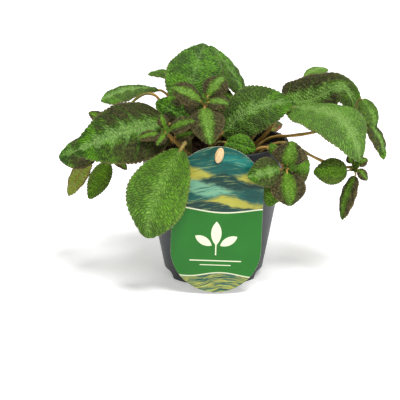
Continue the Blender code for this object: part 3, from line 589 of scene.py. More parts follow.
hair_finish = Finish("pale_hair", Roughness=0.5, Specular_IOR_Level=0.3)
hair_bronze = hair_finish.parts(hair_finish.field("tint"))[0]
hair_shade = hair_finish.noise(300.0, 1.0)
hair_finish.set(Base_Color=hair_finish.mix(hair_bronze * (0.5 + hair_shade), HAIR_PALE, HAIR_BROWN))
print("stem and hair finishes:", len(stem_finish.tree.nodes), "and", len(hair_finish.tree.nodes), "nodes")

# %% [markdown]
# ## The form of a blade
#
# A blade is computed point by point with NumPy, which handles whole grids at once. These functions give
# the midrib, the width at each place and the directions of the sheet, from the numbers of a `Blade`.

# %% Directions and midrib of a blade
BASE_ROUNDNESS = 0.48  # the lower, the blunter
TIP_ROUNDNESS = 0.70
END_INSET = 0.012  # the share of the length at each end that has no ring of points


def unit(vectors):
    return vectors / np.linalg.norm(vectors, axis=-1, keepdims=True)


def blade_frame(blade):
    """The straight length in metres, and the directions along the blade, to its side, and up from it."""
    line = (np.array(blade.tip, float) - blade.base) * MM
    along_it = unit(line)
    face = np.array(blade.face, float)
    up = unit(face - along_it * (face @ along_it))
    return np.linalg.norm(line), along_it, np.cross(along_it, up), up


def midrib(blade, t):
    length, along_it, side, up = blade_frame(blade)
    t = np.asarray(t, float)[..., None]
    bow = np.sin(math.pi * t ** blade.crest) * blade.arch * MM
    sway = np.sin(math.pi * t) * blade.sway * MM
    return np.array(blade.base, float) * MM + along_it * length * t + up * bow + side * sway


def midrib_direction(blade, t):
    step = 0.01
    return unit(midrib(blade, np.minimum(t + step, 1.0)) - midrib(blade, np.maximum(t - step, 0.0)))


def half_width(blade, t):
    power = math.log(0.5) / math.log(blade.peak)
    roundness = np.where(t < blade.peak, BASE_ROUNDNESS, TIP_ROUNDNESS)
    return blade.width * MM / 2 * np.clip(np.sin(math.pi * t ** power), 0.0, 1.0) ** roundness


left_blade = LEAVES["leaf_left"].blade
print("leaf_left:", round(blade_frame(left_blade)[0] / MM, 1), "mm long in a straight line,",
      round(2 * half_width(left_blade, left_blade.peak) / MM, 1), "mm wide")

# %% [markdown]
# The side veins leave the midrib and lean forward on their way to the margin. Counting them gives each
# point a phase, which is whole on a vein. The puckers lie in rows between the veins like bricks, so a
# finer phase counts the rows and another counts the bricks in a row. A slow ripple bends all of them a
# little, because nothing on a leaf is ruled. The teeth of the margin are counted along the same lines, and
# larger leaves have larger teeth.
#
# The lean of a vein is how far its end lies ahead of its start, as a share of the blade's length. A pucker is
# nearly twice as long across the blade as it is along it.

# %% Counting veins, rows and teeth
VEIN_LEAN = 0.24
VEIN_SPACING = 0.0105
PUCKER_STRETCH = 1.9
RIPPLE_PITCH = 0.004
LARGE_LENGTH = 0.06


def largeness(blade):
    """1 for a blade of 60 mm or more, and less for a shorter one."""
    return min(blade_frame(blade)[0] / LARGE_LENGTH, 1.0)


def ripple(x, y, seed):
    """A smooth random wave from -1 to 1 over a plane."""
    draw = np.random.default_rng(seed)
    total = 0.0
    for _ in range(5):
        turn, phase = draw.uniform(0.0, math.tau, 2)
        pace = draw.uniform(0.6, 1.7)
        total = total + np.sin(pace * (x * math.cos(turn) + y * math.sin(turn)) + phase)
    return total / 3.5


def tooth_pitch(blade):
    """The distance from tooth to tooth, in metres."""
    return 0.0013 + 0.028 * blade_frame(blade)[0]


def phases(blade, t, v, half, seed):
    """Four counts at each point: rows of puckers, puckers in a row, side veins, and teeth."""
    length = blade_frame(blade)[0]
    row_pitch = (1.4 + 0.55 * largeness(blade)) * blade.grain * MM
    veins = max(3, round(length / VEIN_SPACING))
    rows = max(2, round(length / veins / row_pitch))
    x, y = t * length / RIPPLE_PITCH, half * v / RIPPLE_PITCH
    reach = np.abs(v)
    vein = veins * (t - VEIN_LEAN * reach ** 1.15 * (1.0 - 0.35 * t)) + 0.10 * ripple(x, y, seed)
    row = vein * rows + 0.35 * ripple(x, y, seed + 1)
    brick = v * half / (PUCKER_STRETCH * row_pitch) + 0.4 * ripple(x, y, seed + 2)
    teeth = vein * length / veins / tooth_pitch(blade) + 0.15 * ripple(x, y, seed + 3)
    return row, brick, vein, teeth


print("teeth of leaf_left:", round(tooth_pitch(left_blade) / MM, 1), "mm apart")

# %% [markdown]
# Each brick gets a middle, moved a little at random, and a point's height is how much nearer it is to its own
# middle than to the next one. That makes rounded cells with narrow joints. The joints between two rows are
# deeper than those within a row, because the fine veins run there. The random moves come from a table that
# repeats only after more rows and bricks than a blade has.

# %% Puckers
SCATTER_ROWS = 61
SCATTER_BRICKS = 67


def wave(phase):
    """0 where the phase is whole and 1 halfway between."""
    return np.abs(np.sin(math.pi * phase))


def puckers(row, brick, seed):
    """Rounded cells round a scattered middle in each brick of the rows: 0 in their joints, 1 on top."""
    scatter = np.random.default_rng(seed).uniform(-0.4, 0.4, (2, SCATTER_ROWS, SCATTER_BRICKS))
    nearest = np.full(np.broadcast(row, brick).shape, 9.0)
    second = nearest.copy()
    for i in (-1, 0, 1):
        for j in (-1, 0, 1, 2):
            m, n = np.floor(row) + i, np.floor(brick) + j
            index = (m % SCATTER_ROWS).astype(int), (n % SCATTER_BRICKS).astype(int)
            away = np.hypot(row - m - 0.5 - scatter[0][index], brick - n - 0.5 * (m % 2) - scatter[1][index])
            second = np.minimum(second, np.maximum(nearest, away))
            nearest = np.minimum(nearest, away)
    return np.clip(1.4 * (second - nearest), 0.0, 1.0) ** 0.8 * (0.35 + 0.65 * wave(row) ** 0.7)


# %% [markdown]
# The upper side of the blade rises in puckers between its veins. The lower side is smoother, with the side
# veins standing out of it as ribs. Both are heights above the same middle sheet, so the two sides never
# cross, and they meet in one line at the margin.

# %% Heights of the upper and the lower side
HALF_THICKNESS = 0.00026
MIDRIB_GROOVE = 0.0009
RIB_HEIGHT = 0.35  # millimetres
RIB_BREADTH = 0.35  # against the way from a side vein to the middle between two


def smooth(x, low, high):
    """A soft step from 0 at low to 1 at high."""
    s = np.clip((x - low) / (high - low), 0.0, 1.0)
    return s * s * (3 - 2 * s)


def bend(blade, half, v):
    """How high each half rises from the midrib before it turns down to the margin."""
    return 2 * half * (blade.fold * np.abs(v) - blade.curl * v * v)


def upper_height(blade, t, v, half, bumps, vein):
    large = largeness(blade)
    reach = np.abs(v)
    inside = (1.0 - reach ** 12) * np.minimum(1.0, 12 * t) * np.minimum(1.0, 12 * (1 - t))
    quilt = wave(vein) ** 0.8 * smooth(reach, 0.0, 0.2)
    groove = np.exp(-(reach * half / MIDRIB_GROOVE) ** 2)
    height = (0.5 + 0.65 * large) * blade.grain * bumps * (1.0 - groove) + (0.25 + 0.55 * large) * quilt
    return HALF_THICKNESS + MM * inside * height


def lower_height(t, v, vein):
    reach = np.abs(v)
    rib = np.exp(-(wave(vein) / RIB_BREADTH) ** 2) * (1.0 - reach ** 3) * smooth(t, 0.02, 0.1)
    return -HALF_THICKNESS - RIB_HEIGHT * MM * rib


# %% [markdown]
# ## Gathering a piece
#
# A leafy stem is one piece: its stem, its stalks and its blades are gathered in one mesh, each a closed
# shape sunk a little into what it grows from. Fields ride along with the points. The finish reads some
# of them, and the hairs read the others.

# %% Collects points, faces and fields
FIELDS = {"place": 3, "pucker": 1, "vein": 1, "tint": 3, "comb": 3, "below": 1, "fuzz": 1}
LEAF_SLOT, STEM_SLOT = 0, 1


class Sheaf:
    def __init__(self):
        self.points = []
        self.faces = []
        self.slots = []
        self.fields = {name: [] for name in FIELDS}
        self.count = 0

    def add(self, points, faces, slot, **fields):
        self.points.append(points)
        for block in faces:
            self.faces.extend((block + self.count).tolist())
            self.slots.extend([slot] * len(block))
        for name, size in FIELDS.items():
            given = np.asarray(fields.get(name, np.zeros(size)), float).reshape(-1, size)
            self.fields[name].append(np.broadcast_to(given, (len(points), size)))
        self.count += len(points)

    def build(self, name, materials):
        points = np.concatenate(self.points)
        points[:, 0] += AXIS_X
        mesh = bpy.data.meshes.new(name)
        mesh.from_pydata(points.tolist(), [], self.faces)
        mesh.polygons.foreach_set("material_index", self.slots)
        mesh.shade_smooth()
        for field, size in FIELDS.items():
            kind = "FLOAT_VECTOR" if size == 3 else "FLOAT"
            layer = mesh.attributes.new(field, kind, "POINT")
            values = np.concatenate(self.fields[field]).astype(np.float32).ravel()
            layer.data.foreach_set("vector" if size == 3 else "value", values)
        for material in materials:
            mesh.materials.append(material)
        obj = bpy.data.objects.new(name, mesh)
        bpy.context.scene.collection.objects.link(obj)
        return obj


# %% [markdown]
# A ring of points goes along the upper side from one margin to the other and back along the lower side.
# Rings are skinned together, and each end closes on a single point. The lower side is coarser, because it
# carries no puckers.

# %% Faces of a closed ring loft
def loft_faces(rings, upper, lower):
    """Faces for rings of upper + lower points, then two end points. Upper points come first, in order."""
    size = upper + lower
    ring = np.arange(rings)[:, None] * size
    top = ring + np.arange(upper)
    bottom = np.concatenate([top[:, :1], ring + upper + np.arange(lower), top[:, -1:]], axis=1)
    quads = [
        np.stack([top[:-1, :-1], top[:-1, 1:], top[1:, 1:], top[1:, :-1]], -1).reshape(-1, 4),
        np.stack([bottom[:-1, :-1], bottom[1:, :-1], bottom[1:, 1:], bottom[:-1, 1:]], -1).reshape(-1, 4),
    ]
    first, last = rings * size, rings * size + 1
    ends = ((top[-1], last, 1), (bottom[-1], last, -1), (top[0], first, -1), (bottom[0], first, 1))
    caps = []
    for edge, tip, direction in ends:
        pairs = np.stack([edge[:-1], edge[1:]], -1)[:, ::direction]
        caps.append(np.concatenate([pairs, np.full((len(pairs), 1), tip)], axis=1))
    return quads + caps


# %% [markdown]
# ## One blade
#
# The grid is about half a millimetre wide, fine enough for a pucker to be round, and its rings stand a little
# closer at both ends. The teeth push the margin in and out in the plane of the blade, along its own outward
# direction, so they stay round at the tip too. The margin of a large blade also waves up and down.

# %% Grid, teeth and margin
GRID_STEP = 0.52  # millimetres
END_CROWDING = 0.3
NARROWEST = 0.3  # millimetres, half the width
TOOTH_SHARE = 0.18  # how far a tooth stands out, against the distance between teeth
MARGIN_WAVE = 0.0006
MARGIN_WAVES = 4


def outward_at_margin(blade, t, side, ups):
    """For each place along the blade, the outward direction at its +side margin, in the sheet's plane."""
    line = midrib(blade, t) + side * half_width(blade, t)[:, None]
    away = unit(np.cross(np.gradient(line, axis=0), ups))
    return away * np.sign((away * side).sum(-1, keepdims=True))


print("teeth of leaf_left stand out by", round(TOOTH_SHARE * tooth_pitch(left_blade) / MM, 2), "mm")


# %% [markdown]
# The upper and the lower sheet come from one function, with more columns above than below. The fields are
# gathered with the points: the comb turns the hairs of the margin outwards, and the fuzz sets most of them
# there and few on the lower side.

# %% Blade mesh
def add_blade(sheaf, blade, seed):
    length, along_it, side, _ = blade_frame(blade)
    step = GRID_STEP * (0.4 + 0.6 * blade.grain) * MM
    rows = int(max(12, length / step))
    columns = int(max(10, blade.width * MM / step))
    lower_columns = max(5, columns // 3)
    even = np.linspace(0.0, 1.0, rows)
    crowded = (1 - np.cos(math.pi * even)) / 2
    t = END_INSET + (1 - 2 * END_INSET) * ((1 - END_CROWDING) * even + END_CROWDING * crowded)
    half = np.maximum(half_width(blade, t), NARROWEST * MM)
    lean = side + along_it * (blade.skew - blade.fan * t ** 3)[:, None]
    ups = unit(np.cross(lean, midrib_direction(blade, t)))
    away = {1: outward_at_margin(blade, t, lean, ups), -1: outward_at_margin(blade, t, -lean, ups)}

    def sheet(v, upper):
        tt, vv, hh = t[:, None], v[None, :], half[:, None]
        row, brick, vein, teeth = phases(blade, tt, vv, hh, seed)
        bumps = puckers(row, brick, seed)
        lobe = np.sin(math.pi * (teeth % 1.0) ** 1.3) ** 0.5
        tooth = TOOTH_SHARE * tooth_pitch(blade) * (2 * lobe - 1.0) * np.abs(vv) ** 8
        outward = np.where(vv[..., None] > 0, away[1][:, None], away[-1][:, None])
        beat = np.sin(math.tau * MARGIN_WAVES * tt + seed + 2 * np.sign(vv))
        sway = MARGIN_WAVE * largeness(blade) * beat
        rise = bend(blade, hh, vv) + sway * np.abs(vv) ** 3
        if upper:
            rise = rise + (1.0 - np.abs(vv) ** 40) * upper_height(blade, tt, vv, hh, bumps, vein)
        else:
            rise = rise + lower_height(tt, vv, vein)
        flat = midrib(blade, t)[:, None] + lean[:, None] * (hh * vv)[..., None]
        points = flat + outward * tooth[..., None] + ups[:, None] * rise[..., None]
        place = np.stack(np.broadcast_arrays(vv, tt, np.abs(vv) * hh / MM), -1)
        comb = outward * (np.abs(vv) ** 5)[..., None] * 1.4 + along_it * 0.35
        return points, place, bumps[..., None], vein[..., None], comb * np.ones_like(place)

    v_up = np.linspace(-1.0, 1.0, columns + 1)
    v_low = np.linspace(-1.0, 1.0, lower_columns + 1)[1:-1]
    joined = [np.concatenate([a, b], axis=1) for a, b in zip(sheet(v_up, True), sheet(v_low, False))]
    joined = [values.reshape(-1, values.shape[-1]) for values in joined]
    ends = ([midrib(blade, 0.0), midrib(blade, 1.0)], [[0, 0, 0], [0, 1, 0]], [[1.0], [1.0]],
            joined[3][[0, -1]], [along_it, along_it])
    points, place, bumps, vein, comb = [np.concatenate(pair) for pair in zip(joined, ends)]
    is_low = np.concatenate([np.zeros(columns + 1), np.ones(lower_columns - 1)])
    below_field = np.concatenate([np.tile(is_low, rows), [0.0, 0.0]])
    margin = np.abs(place[:, 0]) ** 14
    fuzz = np.where(below_field > 0.5, 0.25, 0.5 + 2.0 * margin)
    sheaf.add(points, loft_faces(rows, columns + 1, lower_columns - 1), LEAF_SLOT, place=place,
              pucker=bumps, vein=vein, tint=blade.tint, comb=comb, below=below_field, fuzz=fuzz)


# %% [markdown]
# ## Stems and stalks
#
# Stems and stalks are round tubes along a smooth curve. Blender's curve objects could make them, but here
# they join a blade's mesh, so their rings are laid out one by one. Each ring is turned as little as possible
# against the one before, so the tube doesn't twist.

# %% Tubes
TUBE_SIDES = 10
STEM_TINT = (0.5, 0.0, 0.0)
STEM_FUZZ = 0.9


def add_tube(sheaf, curve, radii, tint, sides=TUBE_SIDES):
    count = len(curve)
    directions = unit(np.gradient(curve, axis=0))
    side = np.cross(directions[0], (0.3, 0.2, 1.0))
    turns = math.tau * np.arange(sides) / sides
    rings = []
    for i in range(count):
        side = unit(side - directions[i] * (side @ directions[i]))
        other = np.cross(directions[i], side)
        spokes = np.cos(turns)[:, None] * side + np.sin(turns)[:, None] * other
        rings.append(curve[i] + radii[i] * spokes)
    points = np.concatenate(rings + [curve[:1], curve[-1:]])
    index = np.arange(count * sides).reshape(count, sides)
    following = np.roll(index, -1, axis=1)
    quads = np.stack([index[:-1], following[:-1], following[1:], index[1:]], -1).reshape(-1, 4)
    first = np.stack([following[0], index[0], np.full(sides, count * sides)], -1)
    last = np.stack([index[-1], following[-1], np.full(sides, count * sides + 1)], -1)
    sheaf.add(points, [quads, first, last], STEM_SLOT, tint=tint, fuzz=STEM_FUZZ)


def cubic_curve(hull, s):
    """Points on the cubic curve between the first and the last of four hull points."""
    a, b, c, d = hull
    s = s[:, None]
    r = 1 - s
    return a * r ** 3 + b * 3 * r * r * s + c * 3 * r * s * s + d * s ** 3


# %% [markdown]
# A stalk leaves its stem along a given heading and comes to the blade along the midrib. It runs on under the
# blade as the midrib and thins out towards the tip. Over the first tenth of the blade it sinks from the
# middle sheet to just under it.

# %% Stalk and midrib
STALK_RING_STEP = 2.2  # millimetres
RIB_RING_STEP = 2.5
FIRST_HEADING_SHARE = 0.38
RIB_END = 0.93


def add_stalk(sheaf, blade, start, heading, radius, ease):
    base = midrib(blade, 0.0)
    reach = np.linalg.norm(base - start)
    near_blade = base - midrib_direction(blade, np.array(0.0)) * reach * ease
    hull = (start, start + heading * reach * FIRST_HEADING_SHARE, near_blade, base)
    rings = max(6, int(reach / (STALK_RING_STEP * MM)))
    stalk = cubic_curve(hull, np.linspace(0.0, 1.0, rings))
    t = np.linspace(0.0, RIB_END, max(8, int(blade_frame(blade)[0] / (RIB_RING_STEP * MM))))[1:]
    _, _, side, _ = blade_frame(blade)
    ups = unit(np.cross(np.broadcast_to(side, (len(t), 3)), midrib_direction(blade, t)))
    rib_radii = radius * (0.8 - 0.66 * t)
    sink = (0.05 * MM + rib_radii) * smooth(t, -0.02, 0.10)
    rib = midrib(blade, t) - ups * sink[:, None]
    radii = np.concatenate([radius * np.linspace(1.12, 0.85, rings), rib_radii])
    add_tube(sheaf, np.concatenate([stalk, rib]), radii, blade.tint)


# %% [markdown]
# A stem's curve goes through its given points without corners. It swells and narrows a little along its
# length. A shoot is thick as far as its lowest leaves and bears the rings of leaves that it has dropped.

# %% Stems
def smooth_way(points, per_span):
    """A cubic curve through the points, with so many places in each span."""
    ends = [2 * points[0] - points[1], *points, 2 * points[-1] - points[-2]]
    curve = []
    for p0, p1, p2, p3 in zip(ends, ends[1:], ends[2:], ends[3:]):
        t = np.arange(per_span)[:, None] / per_span
        curve.append(0.5 * (2 * p1 + (p2 - p0) * t + (2 * p0 - 5 * p1 + 4 * p2 - p3) * t * t
                            + (3 * p1 - p0 - 3 * p2 + p3) * t ** 3))
    return np.concatenate(curve + [points[-1][None]])


SHOOT_RADIUS = 0.0048
SHOOT_SIDES = 16
STEM_FOOT = 0.092  # the height inside the soil where every stem starts


def stem_curve(runner, per_span):
    return smooth_way([np.array(point, float) * MM for point in runner.way], per_span)


def add_stem(sheaf, name, runner):
    curve = stem_curve(runner, 5)
    radius = runner.radius * MM
    foot = curve[0].copy()
    foot[2] = STEM_FOOT
    if name.startswith("shoot"):
        rise = np.linspace(0.0, 1.0, 14)[:-1, None]
        trunk = foot * (1 - rise) + curve[0] * rise
        girth = SHOOT_RADIUS * (1.0 + 0.07 * np.sin(math.tau * 4 * rise[:, 0]))
        taper = SHOOT_RADIUS * 0.75 * np.exp(-np.arange(len(curve)) / 1.6)
        radii = np.concatenate([girth, np.maximum(taper, radius)])
        add_tube(sheaf, np.concatenate([trunk, curve]), radii, STEM_TINT, SHOOT_SIDES)
        return
    curve = np.concatenate([foot[None], curve])
    swell = radius * (1.0 + 0.10 * np.sin(np.arange(len(curve)) * 1.1))
    swell[-1] = 0.6 * radius
    add_tube(sheaf, curve, swell, STEM_TINT)


# %% [markdown]
# At the tip of every leafy stem a few leaves are only just unfolding. They stand in a ring in the middle of
# the rosette, a little open, and look the way that its grown leaves look.

# %% Heart of a rosette
HEART_LEAVES = 5
HEART_TINT = (0.5, 0.4, 0.9)


def add_heart(sheaf, runner, tip, seed):
    draw = np.random.default_rng(seed)
    blades = [blade for place, blade in runner.leaves if place > 0.85]
    axis = unit(np.sum([unit(np.array(blade.face, float)) for blade in blades], axis=0))
    middle = np.mean([blade.base for blade in blades], axis=0) * MM
    size = 3.6 + 1.3 * runner.radius
    add_tube(sheaf, tip + (middle - tip) * np.linspace(0.0, 1.0, 5)[:, None],
             0.7 * MM * runner.radius * np.linspace(1.0, 0.6, 5), STEM_TINT)
    one = unit(np.cross(axis, (0.3, 1.0, 0.2)))
    other = np.cross(axis, one)
    for k in range(HEART_LEAVES):
        turn = math.tau * (k + 0.3 * draw.uniform(-1, 1)) / HEART_LEAVES
        out = math.cos(turn) * one + math.sin(turn) * other
        open_by = math.radians(30 + 12 * k)
        along_it = axis * math.cos(open_by) + out * math.sin(open_by)
        face = axis * math.sin(open_by) - out * math.cos(open_by)
        base = middle / MM + out * 0.5
        reach = size * (0.8 + 0.1 * k)
        blade = Blade(tuple(base), tuple(base + along_it * reach), tuple(face), 0.62 * reach,
                      arch=-0.1 * reach, fold=0.3, curl=0.1, tint=HEART_TINT)
        add_blade(sheaf, blade, seed + k)


# %% [markdown]
# ## Hairs
#
# The whole plant is downy: fine pale hairs stand on the blades and make a bright fringe round each leaf.
# Geometry Nodes scatters them. The tree puts points on the faces, as many as the stored `fuzz` asks for,
# turns a three-sided needle at each between the surface's own direction and the stored `comb`, and makes
# real geometry of them at the end.

# %% The sockets of a tree
def sockets_in(group, inputs):
    """Gives a tree its geometry in and out and its named inputs, and returns the inputs' wires by name."""
    group.interface.new_socket("Geometry", in_out="INPUT", socket_type="NodeSocketGeometry")
    for name, kind in inputs.items():
        group.interface.new_socket(name, in_out="INPUT", socket_type=kind)
    group.interface.new_socket("Geometry", in_out="OUTPUT", socket_type="NodeSocketGeometry")
    source = group.nodes.new("NodeGroupInput")
    tree = Tree(group)
    return tree, {socket.name: Wire(tree, socket) for socket in source.outputs if socket.name}


# %% [markdown]
# A Float input takes a size or a density, and an Integer takes the seed. The needles are about a millimetre
# long and about as thin as a real hair, with three sides and no more, because there are many thousands.

# %% A tree that grows hairs
HAIRS_PER_SQUARE_METRE = 1.05e6
HAIR_LENGTH = 0.0011
HAIR_RADIUS = 0.000024


def hair_tree():
    group = bpy.data.node_groups.new("hairs", "GeometryNodeTree")
    tree, inputs = sockets_in(group, {
        "Density": "NodeSocketFloat", "Length": "NodeSocketFloat", "Radius": "NodeSocketFloat",
        "Seed": "NodeSocketInt"})
    fuzz = tree.node("GeometryNodeInputNamedAttribute", {"data_type": "FLOAT"}, {"Name": "fuzz"})
    comb = tree.node("GeometryNodeInputNamedAttribute", {"data_type": "FLOAT_VECTOR"}, {"Name": "comb"})
    scatter = tree.node("GeometryNodeDistributePointsOnFaces", {}, {
        "Mesh": inputs["Geometry"], "Density": fuzz * inputs["Density"], "Seed": inputs["Seed"]})
    normal = Wire(tree, scatter.socket.node.outputs["Normal"])
    heading = tree.node("ShaderNodeVectorMath", {"operation": "ADD"}, {0: normal, 1: comb})
    turn = tree.node("FunctionNodeAlignRotationToVector", {"axis": "Z"}, {"Vector": heading})
    size = tree.node("FunctionNodeRandomValue", {"data_type": "FLOAT"},
                     {"Min": 0.45, "Max": 1.25, "Seed": inputs["Seed"]}, "Value")
    needle = tree.node("GeometryNodeMeshCone", {}, {
        "Vertices": 3, "Radius Top": 0.0, "Radius Bottom": inputs["Radius"], "Depth": inputs["Length"]})
    marked = tree.node("GeometryNodeStoreNamedAttribute", {"data_type": "BOOLEAN", "domain": "FACE"},
                       {"Geometry": needle, "Name": "hair", "Value": True})
    planted = tree.node("GeometryNodeInstanceOnPoints", {}, {
        "Points": scatter, "Instance": marked, "Rotation": turn, "Scale": size})
    both = tree.node("GeometryNodeJoinGeometry", {}, {"Geometry": inputs["Geometry"]})
    tree.put(both.socket.node.inputs[0], planted)
    real = tree.node("GeometryNodeRealizeInstances", {}, {"Geometry": both})
    is_hair = tree.node("GeometryNodeInputNamedAttribute", {"data_type": "BOOLEAN"}, {"Name": "hair"})
    painted = tree.node("GeometryNodeSetMaterial", {},
                        {"Geometry": real, "Selection": is_hair, "Material": hair_finish.material})
    tree.put(group.nodes.new("NodeGroupOutput").inputs[0], painted)
    return group


# %% [markdown]
# A modifier's inputs are set by each socket's own identifier. The evaluated result becomes a plain mesh,
# and the modifier goes, so nothing is left to evaluate.

# %% Applies a tree to a piece
def applied(obj):
    """Replaces obj's mesh by what its modifiers make of it."""
    graph = bpy.context.evaluated_depsgraph_get()
    result = bpy.data.meshes.new_from_object(obj.evaluated_get(graph))
    obj.modifiers.clear()
    plain = obj.data
    obj.data = result
    bpy.data.meshes.remove(plain)
    result.name = obj.name
    return obj


def settle(obj, group, values):
    """Runs a Geometry Nodes tree on obj and keeps its result as a plain mesh."""
    modifier = obj.modifiers.new(group.name, "NODES")
    modifier.node_group = group
    for item in group.interface.items_tree:
        if item.in_out == "INPUT" and item.name in values:
            modifier[item.identifier] = values[item.name]
    return applied(obj)


# %% [markdown]
# The fields that only the hairs needed are dropped once the hairs stand. The others stay, because the finish
# reads them.

# %% Hairs on a piece
HAIRS = hair_tree()


def grow_hairs(obj, seed):
    settle(obj, HAIRS, {"Density": HAIRS_PER_SQUARE_METRE, "Length": HAIR_LENGTH, "Radius": HAIR_RADIUS,
                        "Seed": seed})
    for name in ("comb", "fuzz", "hair"):
        layer = obj.data.attributes.get(name)
        if layer:
            obj.data.attributes.remove(layer)


def triangles(obj):
    return sum(len(polygon.vertices) - 2 for polygon in obj.data.polygons)


print("hair tree:", len(HAIRS.nodes), "nodes")


# %% [markdown]
# ## Growing the plant
#
# Every leaf on a shoot is one piece, and so is every leafy stem. Each stands for the plain node of the
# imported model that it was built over. A piece's seed is a plain number from its place in the list, so the
# same plant grows on every run. A stalk sets off from the skin of its shoot, half a millimetre deep in it.

# %% Growing the leaves on the shoots
STALK_ROOT = 0.0005
FIRST_LEAF_SEED = 3
LEAF_SEED_STEP = 10
plant = []


def finish_plant_piece(sheaf, node, seed):
    piece = sheaf.build(f"{node}_grown", [skin.material, stem_finish.material])
    grow_hairs(piece, seed)
    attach(piece, BODY)
    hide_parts(node)
    plant.append(piece)


def grow_leaf(node, leaf, seed):
    x, y = SHOOTS[leaf.shoot]
    rise = math.radians(leaf.rise)
    out = unit(np.array([leaf.blade.base[0] - x, leaf.blade.base[1] - y, 0.0]))
    start = np.array([x, y, leaf.height]) * MM + out * (SHOOT_RADIUS - STALK_ROOT)
    heading = out * math.cos(rise) + np.array([0.0, 0.0, math.sin(rise)])
    sheaf = Sheaf()
    add_stalk(sheaf, leaf.blade, start, heading, leaf.stalk * MM, leaf.ease)
    add_blade(sheaf, leaf.blade, seed)
    finish_plant_piece(sheaf, node, seed)


for index, (node, leaf) in enumerate(LEAVES.items()):
    grow_leaf(node, leaf, FIRST_LEAF_SEED + LEAF_SEED_STEP * index)
print("leaves:", len(plant), "triangles:", sum(triangles(piece) for piece in plant))

# %% [markdown]
# A leafy stem carries its leaves on short stalks, each from the point of its curve that lies nearest to the
# leaf's place along it. The hearts and the hairs have seeds of their own.

# %% Growing the leafy stems
BLADE_SEED, HEART_SEED, HAIR_SEED = 500, 700, 900
RUNNER_SEED_STEP = 20
SMALL_STALK_SHARE = 0.62  # a stalk's radius against its stem's
SMALL_STALK_EASE = 0.38


def grow_runner(node, runner, index):
    sheaf = Sheaf()
    add_stem(sheaf, node, runner)
    curve = stem_curve(runner, 2)
    for number, (place, blade) in enumerate(runner.leaves):
        joint = curve[round(place * (len(curve) - 1))]
        heading = unit(np.array(blade.base, float) * MM - joint)
        add_stalk(sheaf, blade, joint, heading, SMALL_STALK_SHARE * runner.radius * MM, SMALL_STALK_EASE)
        add_blade(sheaf, blade, BLADE_SEED + RUNNER_SEED_STEP * index + number)
    add_heart(sheaf, runner, curve[-1], HEART_SEED + RUNNER_SEED_STEP * index)
    finish_plant_piece(sheaf, node, HAIR_SEED + index)


for index, (node, runner) in enumerate(RUNNERS.items()):
    grow_runner(node, runner, index)
print("plant pieces:", len(plant), "triangles:", sum(triangles(piece) for piece in plant))

# %% [markdown]
# ## The pot
#
# A nursery pot is moulded from thin plastic: a tapered wall, a rolled rim, and a foot ring with four arched
# openings. Its profile is turned round the axis with enough steps to look round from close by, and the
# arches and the drain holes are cut with a Boolean. Small arcs in the profile catch the light on its edges.

# %% Pot sizes
RIM_DEPTH = 0.011
WALL_TOP_RADIUS = 0.0582
BASE_RADIUS = 0.0388
POT_WALL = 0.0014
FOOT_WALL = 0.0022
FLOOR_UNDERSIDE = 0.0072
FLOOR_THICKNESS = 0.0016
POT_STEPS = 144
NOTCH_WIDTH = 0.043
NOTCH_HEIGHT = 0.0062
NOTCH_CORNER = 0.0042
NOTCH_COUNT = 4
CENTRE_DRAIN_RADIUS = 0.0060
DRAIN_RADIUS = 0.0042
DRAIN_CIRCLE = 0.026


def wall_radius(height):
    return BASE_RADIUS + (WALL_TOP_RADIUS - BASE_RADIUS) * height / (POT_HEIGHT - RIM_DEPTH)


print("wall radius at the foot and at half height:", BASE_RADIUS, round(wall_radius(POT_HEIGHT / 2), 4))

# %% [markdown]
# A few helpers make the hard pieces: one turns an outline round the pot's axis, one pushes a flat outline
# along a vector, and one cuts pieces out of another or fuses them with it. BMesh is used for the first two,
# because it can fill, spin and extrude without Blender's edit mode. All faces get their normals outwards.

# %% Helpers for turned and pressed shapes
def shade_by_angle(mesh, degrees=35.0):
    """Faces that meet at less than the angle shade as one."""
    mesh.shade_smooth()
    mesh.set_sharp_from_angle(angle=math.radians(degrees))


def object_from(bm, name, material):
    mesh = bpy.data.meshes.new(name)
    bmesh.ops.recalc_face_normals(bm, faces=bm.faces)
    bm.to_mesh(mesh)
    bm.free()
    shade_by_angle(mesh)
    mesh.materials.append(material)
    obj = bpy.data.objects.new(name, mesh)
    bpy.context.scene.collection.objects.link(obj)
    return obj


def turned(profile, steps):
    """A closed outline of (radius, height) points, turned round the pot's axis."""
    bm = bmesh.new()
    ring = [bm.verts.new((AXIS_X + radius, 0.0, height)) for radius, height in profile]
    edges = [bm.edges.new(pair) for pair in zip(ring, ring[1:] + ring[:1])]
    bmesh.ops.spin(bm, geom=ring + edges, cent=(AXIS_X, 0, 0), axis=(0, 0, 1), angle=math.tau, steps=steps,
                   use_merge=True)
    bmesh.ops.remove_doubles(bm, verts=bm.verts, dist=1e-6)
    return bm


def prism(points, push):
    """A flat outline of 3D points, pushed along a vector."""
    bm = bmesh.new()
    face = bm.faces.new([bm.verts.new(point) for point in points])
    pushed = bmesh.ops.extrude_face_region(bm, geom=[face])["geom"]
    bmesh.ops.translate(bm, vec=push, verts=[v for v in pushed if isinstance(v, bmesh.types.BMVert)])
    return bm


def combine(target, others, operation):
    """Cuts other objects out of target ("DIFFERENCE") or fuses them with it ("UNION"), and removes them."""
    for other in others:
        modifier = target.modifiers.new("combine", "BOOLEAN")
        modifier.operation = operation
        modifier.object = other
        modifier.solver = "EXACT"
    applied(target)
    for other in others:
        bpy.data.objects.remove(other)


def arc(centre, radius, start, end, steps):
    """Points on an arc, angles in degrees."""
    turns = [math.radians(start + (end - start) * k / steps) for k in range(steps + 1)]
    return [(centre[0] + radius * math.cos(turn), centre[1] + radius * math.sin(turn)) for turn in turns]


def circle(centre, radius, steps):
    return arc(centre, radius, 0, 360 * (steps - 1) / steps, steps - 1)


